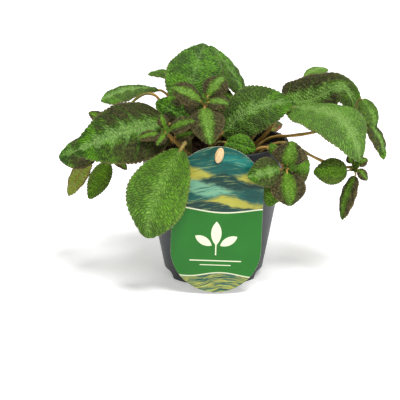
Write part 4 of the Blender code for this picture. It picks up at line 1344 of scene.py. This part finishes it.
# %% [markdown]
# The plastic is dark slate grey and half matt. Flow marks from the mould run up the wall as very faint
# streaks, and fine dust and scuffs change how it shines.

# %% Pot finish
pot_finish = Finish("slate_plastic", Specular_IOR_Level=0.4)
pot_spot = pot_finish.here()
streak_place = pot_finish.node("ShaderNodeMapping", {}, {"Vector": pot_spot, "Scale": (1.0, 1.0, 0.06)})
streak = pot_finish.noise(260.0, 3.0, streak_place)
scuff = pot_finish.noise(75.0, 4.0)
grain = pot_finish.noise(2600.0, 2.0)
pot_colour = pot_finish.mix(streak, rgb(33, 37, 41), rgb(45, 50, 54))
pot_colour = pot_finish.mix(pot_finish.step(scuff, 0.55, 0.8) * 0.35, pot_colour, rgb(68, 73, 78))
pot_finish.set(Base_Color=pot_colour, Roughness=0.34 + 0.16 * scuff + 0.08 * streak,
               Normal=pot_finish.bump(grain + streak, 0.12, 0.0002))
print("pot finish:", len(pot_finish.tree.nodes), "nodes")

# %% [markdown]
# The outline of the wall goes up the outside, over the rolled rim and down the inside to the floor, with a
# small arc at the heel and at each edge of the rim. An arched opening is a flat slab with two round corners,
# and a drain hole is a round rod.

# %% Pot
SHOULDER = POT_HEIGHT - RIM_DEPTH
RIM_EDGE = 0.0011
HEEL_EDGE = 0.0006
CORNER_STEPS = 10
DRAIN_STEPS = 24


def pot_profile():
    floor = FLOOR_UNDERSIDE + FLOOR_THICKNESS
    inner = WALL_TOP_RADIUS - POT_WALL
    inner_edge, under_edge = 0.8 * RIM_EDGE, 0.9 * RIM_EDGE
    rim_out = arc((RIM_RADIUS - RIM_EDGE, POT_HEIGHT - RIM_EDGE), RIM_EDGE, 0, 90, 5)
    rim_in = arc((inner + inner_edge, POT_HEIGHT - inner_edge), inner_edge, 90, 180, 5)
    under_rim = arc((RIM_RADIUS - under_edge, SHOULDER + under_edge), under_edge, -70, 0, 4)
    heel = arc((wall_radius(0.0) - HEEL_EDGE, HEEL_EDGE), HEEL_EDGE, -90, -10, 4)
    wall = [(wall_radius(height), height) for height in np.linspace(0.002, SHOULDER - 0.0004, 14)]
    inside = [(wall_radius(height) - POT_WALL, height) for height in np.linspace(SHOULDER, floor + 0.002, 10)]
    return heel + wall + under_rim + rim_out + rim_in + inside + [
        (wall_radius(floor) - POT_WALL - 0.0015, floor),
        (CENTRE_DRAIN_RADIUS, floor),
        (CENTRE_DRAIN_RADIUS, FLOOR_UNDERSIDE),
        (wall_radius(FLOOR_UNDERSIDE) - FOOT_WALL, FLOOR_UNDERSIDE),
        (wall_radius(0.0) - FOOT_WALL, 0.0),
    ]


def notch_cutter(index):
    half, below_floor = NOTCH_WIDTH / 2, -0.002
    outline = [(-half, below_floor), (half, below_floor)]
    corner = half - NOTCH_CORNER
    outline += arc((corner, NOTCH_HEIGHT - NOTCH_CORNER), NOTCH_CORNER, 0, 90, CORNER_STEPS)
    outline += arc((-corner, NOTCH_HEIGHT - NOTCH_CORNER), NOTCH_CORNER, 90, 180, CORNER_STEPS)
    turn = math.tau * index / NOTCH_COUNT
    cos, sin = math.cos(turn), math.sin(turn)
    near, far = 0.4 * BASE_RADIUS, 0.8 * BASE_RADIUS
    points = [(AXIS_X + a * cos - near * sin, a * sin + near * cos, z) for a, z in outline]
    return object_from(prism(points, (-far * sin, far * cos, 0.0)), f"notch_{index}", pot_finish.material)


def drain_cutter(index):
    turn = math.tau * (index + 0.5) / NOTCH_COUNT
    centre = (AXIS_X + DRAIN_CIRCLE * math.cos(turn), DRAIN_CIRCLE * math.sin(turn))
    points = [(x, y, 0.5 * FLOOR_UNDERSIDE) for x, y in circle(centre, DRAIN_RADIUS, DRAIN_STEPS)]
    return object_from(prism(points, (0.0, 0.0, FLOOR_UNDERSIDE)), f"drain_{index}", pot_finish.material)


pot = object_from(turned(pot_profile(), POT_STEPS), "pot_moulding", pot_finish.material)
notches = [notch_cutter(k) for k in range(NOTCH_COUNT)]
drains = [drain_cutter(k) for k in range(NOTCH_COUNT)]
combine(pot, notches + drains, "DIFFERENCE")
shade_by_angle(pot.data)
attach(pot, BODY)
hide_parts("pot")
print("pot:", triangles(pot), "triangles")

# %% [markdown]
# ## The soil
#
# Potting soil is peat with crumbs of bark. A polar grid makes the bed: its rings are pushed up and down by
# a few ripples of different sizes, and its side goes down along the inside of the pot. Crumbs and splinters
# are then scattered on top by Geometry Nodes, each turned and sized at random.

# %% Soil finish
soil_finish = Finish("peat_soil", Specular_IOR_Level=0.2)
soil_lump = soil_finish.noise(190.0, 4.0, roughness=0.65)
soil_grit = soil_finish.noise(1300.0, 3.0, roughness=0.6)
soil_colour = soil_finish.mix(soil_finish.step(soil_lump, 0.3, 0.7), rgb(26, 18, 12), rgb(64, 42, 28))
soil_colour = soil_finish.mix(soil_finish.step(soil_grit, 0.55, 0.75) * 0.6, soil_colour, rgb(96, 66, 44))
soil_finish.set(Base_Color=soil_colour, Roughness=0.8 + 0.15 * soil_grit,
                Normal=soil_finish.bump(soil_grit + soil_lump, 0.8, 0.0008))

# %% [markdown]
# The ripples fade out towards the wall, where the surface sinks a little, as watering washes soil down there.
# The bed ends just short of the plastic.

# %% Soil surface
SOIL_TOP = 0.1000
SOIL_GAP = 0.0004
SOIL_EDGE_DROP = 0.0012
SOIL_RINGS = 34
SOIL_STEPS = 120
SIDE_HEIGHTS = (0.09, 0.06, 0.03, 0.0095)
# Each ripple: its height in millimetres, its pitch in metres, its seed.
SOIL_RIPPLES = ((1.1, 0.008, 41), (0.5, 0.0025, 42), (0.25, 0.0011, 43))


def soil_radius(height):
    return wall_radius(height) - POT_WALL - SOIL_GAP


def soil_surface():
    """The points of the bed in rings: outwards over the top, then down along the inside of the pot."""
    share = np.linspace(1 / SOIL_RINGS, 1.0, SOIL_RINGS)[:, None]
    turn = math.tau * np.arange(SOIL_STEPS)[None, :] / SOIL_STEPS
    radius = share * soil_radius(SOIL_TOP)
    x, y = radius * np.cos(turn), radius * np.sin(turn)
    bumps = sum(height * ripple(x / pitch, y / pitch, seed) for height, pitch, seed in SOIL_RIPPLES)
    z = SOIL_TOP - SOIL_EDGE_DROP * share ** 4 + bumps * MM * np.minimum(1.0, 6 * (1.02 - share))
    rings = [np.stack([x, y, z], -1)]
    for height in SIDE_HEIGHTS:
        edge = soil_radius(height)
        rings.append(np.stack([edge * np.cos(turn), edge * np.sin(turn), np.full(turn.shape, height)], -1))
    return np.concatenate(rings)


print("soil surface:", soil_surface().shape[0], "rings of", SOIL_STEPS, "points")

# %% [markdown]
# Faces join each ring to the next. The first ring closes to a point in the middle of the top, and the last
# one to a point in the middle of the pot's floor.

# %% Soil bed
def soil_bed():
    grid = soil_surface()
    centre = [[0.0, 0.0, grid[0, :, 2].mean()], [0.0, 0.0, SIDE_HEIGHTS[-1]]]
    points = np.concatenate([grid.reshape(-1, 3), centre])
    points[:, 0] += AXIS_X
    index = np.arange(grid.shape[0] * SOIL_STEPS).reshape(-1, SOIL_STEPS)
    after = np.roll(index, -1, axis=1)
    quads = np.stack([index[:-1], index[1:], after[1:], after[:-1]], -1).reshape(-1, 4)
    middle, low = len(points) - 2, len(points) - 1
    caps = [(middle, index[0, k], after[0, k]) for k in range(SOIL_STEPS)]
    caps += [(low, after[-1, k], index[-1, k]) for k in range(SOIL_STEPS)]
    mesh = bpy.data.meshes.new("soil_bed")
    mesh.from_pydata(points.tolist(), [], quads.tolist() + caps)
    mesh.shade_smooth()
    mesh.materials.append(soil_finish.material)
    obj = bpy.data.objects.new("soil_bed", mesh)
    bpy.context.scene.collection.objects.link(obj)
    return obj


# %% [markdown]
# Only the top of the bed gets crumbs, so the tree keeps the points whose surface looks up. The crumb is a
# twenty-sided ball squeezed at random, and the splinter is a thin box.

# %% A tree that scatters crumbs
def scatter(tree, inputs, shape, density, seed, low, high):
    """Points on the upward faces, each with the shape on it, turned at random and sized from low to high."""
    spread = tree.node("GeometryNodeDistributePointsOnFaces", {}, {
        "Mesh": inputs["Geometry"], "Density": inputs[density], "Seed": seed})
    normal = Wire(tree, spread.socket.node.outputs["Normal"])
    up = tree.parts(normal)[2]
    looking_up = tree.node("FunctionNodeCompare", {"operation": "GREATER_THAN"}, {"A": up, "B": 0.6})
    kept = tree.node("GeometryNodeDeleteGeometry", {"domain": "POINT"}, {
        "Geometry": spread, "Selection": tree.node("FunctionNodeBooleanMath", {"operation": "NOT"},
                                                   {0: looking_up})})
    turn = tree.node("FunctionNodeRandomValue", {"data_type": "FLOAT_VECTOR"},
                     {"Min": (0.0, 0.0, 0.0), "Max": (math.tau,) * 3, "Seed": seed}, "Value")
    size = tree.node("FunctionNodeRandomValue", {"data_type": "FLOAT_VECTOR"},
                     {"Min": low, "Max": high, "Seed": seed + 1}, "Value")
    return tree.node("GeometryNodeInstanceOnPoints", {}, {
        "Points": kept, "Instance": shape, "Rotation": turn, "Scale": size})


def crumb_tree():
    group = bpy.data.node_groups.new("crumbs", "GeometryNodeTree")
    tree, inputs = sockets_in(group, {"Crumbs": "NodeSocketFloat", "Splinters": "NodeSocketFloat"})
    ball = tree.node("GeometryNodeMeshIcoSphere", {}, {"Radius": 0.001, "Subdivisions": 1})
    chip = tree.node("GeometryNodeMeshCube", {}, {"Size": (0.001, 0.001, 0.001)})
    crumbs = scatter(tree, inputs, ball, "Crumbs", 5, (0.4, 0.4, 0.3), (1.5, 1.2, 1.0))
    chips = scatter(tree, inputs, chip, "Splinters", 9, (2.2, 0.5, 0.3), (6.0, 1.1, 0.6))
    both = tree.node("GeometryNodeJoinGeometry", {}, {"Geometry": inputs["Geometry"]})
    tree.put(both.socket.node.inputs[0], crumbs)
    tree.put(both.socket.node.inputs[0], chips)
    real = tree.node("GeometryNodeRealizeInstances", {}, {"Geometry": both})
    painted = tree.node("GeometryNodeSetMaterial", {}, {"Geometry": real, "Material": soil_finish.material})
    tree.put(group.nodes.new("NodeGroupOutput").inputs[0], painted)
    return group


# %% [markdown]
# About one square millimetre in four gets a crumb, and fewer get a splinter, enough to hide the smooth bed.

# %% Soil
CRUMBS_PER_SQUARE_METRE = 0.24e6
SPLINTERS_PER_SQUARE_METRE = 0.07e6
soil = settle(soil_bed(), crumb_tree(), {
    "Crumbs": CRUMBS_PER_SQUARE_METRE, "Splinters": SPLINTERS_PER_SQUARE_METRE})
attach(soil, BODY)
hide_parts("soil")
print("soil:", triangles(soil), "triangles")

# %% [markdown]
# ## The label
#
# The label is a sheet of printed plastic with two round ends, hung on a peg at the rim. Its print is drawn
# by the finish from the place on the sheet: soft bands of teal, turquoise and yellow like far hills, a
# plain green field below them, and a small sprig of leaves. It has no words.
#
# First the place: the label hangs a little to the right of the pot's middle, just above the floor, and
# leans by two degrees.

# %% Label place and size
label_low, label_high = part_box("label")
LABEL_WIDTH = 0.070
LABEL_HEIGHT = 0.1165
LABEL_TO_THE_RIGHT = 0.0020
LABEL_ABOVE_GROUND = 0.0018
LABEL_X = AXIS_X + LABEL_TO_THE_RIGHT
LABEL_Z = LABEL_ABOVE_GROUND + LABEL_HEIGHT / 2
LABEL_LEAN = math.radians(2.0)


def on_label(x, z):
    """A place on the upright label, leaned with it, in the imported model's frame."""
    cos, sin = math.cos(LABEL_LEAN), math.sin(LABEL_LEAN)
    return LABEL_X + x * cos + z * sin, LABEL_Z + z * cos - x * sin


print("label box:", [round(x / MM, 1) for x in (*label_low, *label_high)])

# %% [markdown]
# The sheet is one flat outline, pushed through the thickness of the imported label. A bevelled edge shows as a
# thin pale line.

# %% Label sheet
paper = Finish("printed_label", Specular_IOR_Level=0.35, Coat_Roughness=0.15)
round_end = LABEL_WIDTH / 2
straight = (LABEL_HEIGHT - LABEL_WIDTH) / 2
top_end = arc((0.0, straight), round_end, 0, 180, 60)
foot_end = arc((0.0, -straight), round_end, 180, 360, 60)
outline = [on_label(x, z) for x, z in top_end + foot_end]
sheet_mesh = prism([(x, label_low.y, z) for x, z in outline], (0.0, label_high.y - label_low.y, 0.0))
label = object_from(sheet_mesh, "printed_label", paper.material)
bevel = label.modifiers.new("edge", "BEVEL")
bevel.width = 0.00018
bevel.segments = 2
bevel.limit_method = "ANGLE"
applied(label)
shade_by_angle(label.data)
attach(label, BODY)
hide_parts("label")
print("label:", triangles(label), "triangles")

# %% [markdown]
# The print works in millimetres from the label's middle. A band's upper edge is a wavy line, and its colour
# starts where a point lies below that line. A soft edge looks like wet paint, and a sharp one like print.

# %% Places and wavy lines on the label
spot = paper.node("ShaderNodeMapping", {"vector_type": "TEXTURE"}, {
    "Vector": paper.here(), "Location": (LABEL_X, 0.0, LABEL_Z), "Rotation": (0.0, LABEL_LEAN, 0.0),
    "Scale": (MM, MM, MM)})
label_x, _, label_z = paper.parts(spot)
marble = paper.noise(0.055, 3.0, spot, 0.55)
swirl = paper.noise(0.16, 2.0, spot, 0.5)
SOFT_EDGE = 0.35


def below_line(height, swell, pace, phase, blur=SOFT_EDGE):
    """1 below a wavy line across the label, at a height in millimetres, and 0 above it."""
    bent = label_x * pace + phase
    line = height + swell * paper.node("ShaderNodeMath", {"operation": "SINE"}, {0: bent})
    return paper.step(line - label_z + 5.0 * (swirl - 0.5) * (blur > 1.0), -blur, blur)


# %% [markdown]
# The inks are few: three teals, a pale blue, a yellow, two greens for the field and a cream for what is drawn
# on top. The brush strokes run across in bent lines. They come from a noise that is stretched along them.

# %% Inks and brush strokes
TEAL_DEEP = rgb(0, 54, 48)
TEAL = rgb(4, 86, 78)
TURQUOISE = rgb(20, 120, 110)
PALE_BLUE = rgb(112, 170, 140)
YELLOW = rgb(176, 172, 66)
FIELD_GREEN = rgb(8, 96, 10)
FIELD_LIGHT = rgb(22, 118, 16)
CREAM = rgb(238, 240, 206)

bend_of_strokes = paper.node("ShaderNodeMath", {"operation": "SINE"}, {0: label_x * 0.10 + 0.8})
stroke_line = label_z - 3.2 * bend_of_strokes + 6.0 * (marble - 0.5)
stroke_place = paper.node("ShaderNodeCombineXYZ", {}, {"X": label_x * 0.055, "Y": stroke_line * 0.75})
strokes = paper.noise(1.0, 4.0, stroke_place, 0.65)
light_strokes = paper.step(strokes, 0.54, 0.66)
dark_strokes = 1.0 - paper.step(strokes, 0.34, 0.46)

# %% [markdown]
# The bands are laid over each other from the top down, each one over all that lies below its line. Then come
# the strokes, the plain field with its cream border, and the band at the foot.

# %% Bands, field and foot of the label
print_colour = paper.mix(paper.step(marble, 0.35, 0.65), TEAL_DEEP, TEAL)
# Each band: height and swell of its line in millimetres, pace and phase of its wave, ink, softness.
bands = (
    (49.0, 3.0, 0.11, 0.5, TURQUOISE, 2.0), (45.0, 3.5, 0.09, 2.1, TEAL, 1.6),
    (38.0, 4.0, 0.10, 4.0, YELLOW, 2.2), (33.5, 3.6, 0.12, 1.2, TEAL_DEEP, 1.4),
    (27.0, 4.4, 0.08, 3.3, PALE_BLUE, 2.4), (22.5, 3.4, 0.10, 5.2, TEAL, 1.5),
    (16.0, 3.0, 0.11, 0.9, YELLOW, 1.8), (12.5, 2.6, 0.10, 2.4, TEAL_DEEP, 1.2),
)
for height, swell, pace, phase, ink, blur in bands:
    print_colour = paper.mix(below_line(height, swell, pace, phase, blur), print_colour, ink)
stroke_ink = paper.mix(marble, PALE_BLUE, YELLOW)
print_colour = paper.mix(light_strokes * 0.55, print_colour, stroke_ink)
print_colour = paper.mix(dark_strokes * 0.7, print_colour, TEAL_DEEP)
field_line = (8.0, 2.2, 0.075, 4.4)
print_colour = paper.mix(below_line(field_line[0] + 0.9, *field_line[1:]), print_colour, CREAM)
field_ink = paper.mix(marble, FIELD_GREEN, FIELD_LIGHT)
print_colour = paper.mix(below_line(*field_line), print_colour, field_ink)
foot_line = (-44.0, 1.6, 0.12, 1.0)
print_colour = paper.mix(below_line(foot_line[0] + 0.7, *foot_line[1:]), print_colour, CREAM)
foot_ink = paper.mix(paper.step(strokes, 0.42, 0.6), TEAL, YELLOW)
foot_ink = paper.mix(dark_strokes * 0.8, foot_ink, TEAL_DEEP)
foot_ink = paper.mix(paper.step(strokes, 0.58, 0.68), foot_ink, PALE_BLUE)
print_colour = paper.mix(below_line(*foot_line), print_colour, foot_ink)
print("bands:", len(bands), "and label nodes so far:", len(paper.tree.nodes))


# %% [markdown]
# The sprig is three pointed ovals on a thin stalk, each the overlap of two circles. Two rules stand below it.
# A shape is described by the distance from its edge, so that one function can draw them all.

# %% Drawn shapes
def shape_mask(distance, blur=0.22):
    """1 inside a shape, where the distance in millimetres is negative, and 0 outside it."""
    return paper.step(distance * -1.0, -blur, blur)


def from_point(x, z):
    """How far a point of the label is from a place on it, in millimetres."""
    dx, dz = label_x - x, label_z - z
    return (dx * dx + dz * dz) ** 0.5


def pointed_oval(x, z, turn, length, breadth):
    """The overlap of two circles, a leaf of the sprig."""
    half, side = length / 2, breadth / 2
    radius = (half * half + side * side) / (2 * side)
    offset = radius - side
    dx, dz = math.cos(turn), math.sin(turn)
    one = from_point(x - dz * offset, z + dx * offset)
    other = from_point(x + dz * offset, z - dx * offset)
    return one.larger(other) - radius


def bar(x0, x1, z, thick):
    """A level bar from x0 to x1."""
    middle, half = (x0 + x1) / 2, (x1 - x0) / 2
    dx, dz = abs(label_x - middle) - half, abs(label_z - z) - thick / 2
    return dx.larger(dz)


# %% [markdown]
# The drawn shapes are cream. The sheet's edge is the pale plastic itself, and its back is plain.

# %% Sprig, rules and the back of the label
drawn = [
    pointed_oval(0.0, -10.5, math.radians(90), 19.0, 8.0),
    pointed_oval(-9.8, -16.5, math.radians(150), 15.0, 6.4),
    pointed_oval(9.8, -16.5, math.radians(30), 15.0, 6.4),
    bar(-0.45, 0.45, -23.5, 9.0),
    bar(-20.0, 20.0, -32.5, 0.8),
    bar(-12.0, 12.0, -36.0, 0.6),
]
for distance in drawn:
    print_colour = paper.mix(shape_mask(distance), print_colour, CREAM)
facing = paper.node("ShaderNodeNewGeometry", {}, {}, "Normal")
back_side = paper.step(paper.parts(facing)[1], 0.2, 0.6)
edge_side = paper.step(abs(paper.parts(facing)[1]), 0.5, 0.9)
print_colour = paper.mix(1.0 - edge_side, print_colour, CREAM)
print_colour = paper.mix(back_side, print_colour, rgb(226, 230, 220))
paper.set(Base_Color=print_colour, Roughness=0.30 + 0.12 * swirl, Coat_Weight=0.04 + 0.08 * marble)
print("label print:", len(paper.tree.nodes), "nodes")

# %% [markdown]
# ## The peg
#
# A pale peg with an oval button holds the label. Its flat stake stands in the soil just inside the rim, and
# a round shank goes over the rim and through the label. The button is lathed soft: a row of shrinking ovals
# whose sizes follow a quarter circle.

# %% Peg finish
peg_finish = Finish("pale_wood", Specular_IOR_Level=0.35)
peg_spot = peg_finish.here()
grain_place = peg_finish.node("ShaderNodeMapping", {}, {"Vector": peg_spot, "Scale": (1.0, 1.0, 0.16)})
wood_grain = peg_finish.noise(1500.0, 3.0, grain_place)
peg_colour = peg_finish.mix(peg_finish.step(wood_grain, 0.35, 0.7), rgb(232, 204, 156), rgb(208, 170, 116))
peg_finish.set(Base_Color=peg_colour, Roughness=0.45 + 0.15 * wood_grain,
               Normal=peg_finish.bump(wood_grain, 0.25, 0.0002))
print("peg finish:", len(peg_finish.tree.nodes), "nodes")

# %% [markdown]
# The shank lies on the rim, and its height and place follow from the pot and the label. The button is
# narrow, flat and tall, and stands a little askew.

# %% Peg sizes
CLEARANCE = 0.0003
SHANK_RADIUS = 0.0014
SHANK_STEPS = 24
PEG_Z = POT_HEIGHT + SHANK_RADIUS + CLEARANCE
PEG_X = LABEL_X + (PEG_Z - LABEL_Z) * math.sin(LABEL_LEAN)
BUTTON_WIDTH, BUTTON_DEPTH, BUTTON_HEIGHT = 0.0066, 0.0022, 0.0124
BUTTON_TURN = math.radians(14.0)
BUTTON_STEPS = 40
STAKE_Y = -0.0485
STAKE_FOOT = 0.072
STAKE_POINT = 0.010
STAKE_HALF_WIDTH = 0.0025
STAKE_THICKNESS = 0.0016
print("peg at", round(PEG_X / MM, 1), "mm across and", round(PEG_Z / MM, 1), "mm up")


# %% [markdown]
# The button's back is flat against the label. Its side swells a little, and its front is a soft crown.

# %% Button
def button_rings():
    """Ovals from the button's flat back to its crown: how far in front, and their share of its size."""
    rings = [(0.0, 0.90), (0.15, 0.97), (0.32, 1.0)]
    crown = [math.radians(turn) for turn in range(15, 90, 15)]
    return rings + [(0.32 + 0.68 * math.sin(turn), math.cos(turn)) for turn in crown]


def add_button(bm):
    back = label_low.y - CLEARANCE
    cos, sin = math.cos(BUTTON_TURN), math.sin(BUTTON_TURN)
    rings = []
    for ahead, share in button_rings():
        y = back - ahead * BUTTON_DEPTH
        oval = circle((0.0, 0.0), 1.0, BUTTON_STEPS)
        places = [(share * BUTTON_WIDTH / 2 * a, share * BUTTON_HEIGHT / 2 * b) for a, b in oval]
        rings.append([bm.verts.new((PEG_X + x * cos + z * sin, y, PEG_Z + z * cos - x * sin))
                      for x, z in places])
    for near, far in zip(rings, rings[1:]):
        for k in range(len(near)):
            n = (k + 1) % len(near)
            bm.faces.new((near[k], near[n], far[n], far[k]))
    bm.faces.new(rings[0])
    bm.faces.new(rings[-1])


# %% [markdown]
# The shank starts inside the button and ends at the stake, whose foot is pointed. A Boolean makes one piece
# of the three.

# %% Peg
def peg_part(bm, name):
    return object_from(bm, name, peg_finish.material)


def stake_points():
    """The stake's outline: the point at the foot, then up one side and down the other."""
    left, right = PEG_X - STAKE_HALF_WIDTH, PEG_X + STAKE_HALF_WIDTH
    shoulder, top = STAKE_FOOT + STAKE_POINT, PEG_Z + SHANK_RADIUS
    outline = [(PEG_X, STAKE_FOOT), (right, shoulder), (right, top), (left, top), (left, shoulder)]
    return [(x, STAKE_Y - STAKE_THICKNESS / 2, z) for x, z in outline]


button_mesh = bmesh.new()
add_button(button_mesh)
peg = peg_part(button_mesh, "oval_peg")
shank_points = [(x, label_low.y - 0.001, z) for x, z in circle((PEG_X, PEG_Z), SHANK_RADIUS, SHANK_STEPS)]
shank = peg_part(prism(shank_points, (0.0, STAKE_Y - label_low.y + 0.001, 0.0)), "peg_shank")
stake = peg_part(prism(stake_points(), (0.0, STAKE_THICKNESS, 0.0)), "peg_stake")
combine(peg, [shank, stake], "UNION")
shade_by_angle(peg.data, 40.0)
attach(peg, BODY)
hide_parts("label_peg")
print("peg:", triangles(peg), "triangles")

# %% [markdown]
# ## Floor and light
#
# The plant stands on a plain white floor under soft studio light. The floor glows a little, as a light table
# does, so that the background stays white and the shadow under the pot stays light.

# %% Floor
floor_finish = Finish("white_floor", Roughness=0.9, Base_Color=(1.0, 1.0, 1.0, 1.0),
                      Emission_Color=(1.0, 1.0, 1.0, 1.0), Emission_Strength=0.3)
floor_mesh = bmesh.new()
bmesh.ops.create_grid(floor_mesh, x_segments=1, y_segments=1, size=6.0)
floor = object_from(floor_mesh, "floor", floor_finish.material)
floor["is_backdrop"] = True
print("floor:", triangles(floor), "triangles")

# %% [markdown]
# One wide, soft sun shines from above, from the front and a little from the right. An even white surrounding
# fills the shadows.

# %% Lights
sun_data = bpy.data.lights.new("sun", "SUN")
sun_data.energy = 2.7
sun_data.angle = math.radians(24.0)
sun = bpy.data.objects.new("sun", sun_data)
bpy.context.scene.collection.objects.link(sun)
sun.rotation_euler = (math.radians(28.0), 0.0, math.radians(28.0))
world = bpy.data.worlds.new("surrounding")
bpy.context.scene.world = world
world.use_nodes = True
world.node_tree.nodes["Background"].inputs["Color"].default_value = (1.0, 1.0, 1.0, 1.0)
world.node_tree.nodes["Background"].inputs["Strength"].default_value = 0.50
bpy.context.scene.view_settings.view_transform = "Standard"
print("sun strength:", round(sun_data.energy, 2))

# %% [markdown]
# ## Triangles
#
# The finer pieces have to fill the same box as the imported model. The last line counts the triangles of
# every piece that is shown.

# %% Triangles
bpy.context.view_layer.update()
total = sum(triangles(piece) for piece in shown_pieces() if piece.type == "MESH")
print("object:", total, "triangles")
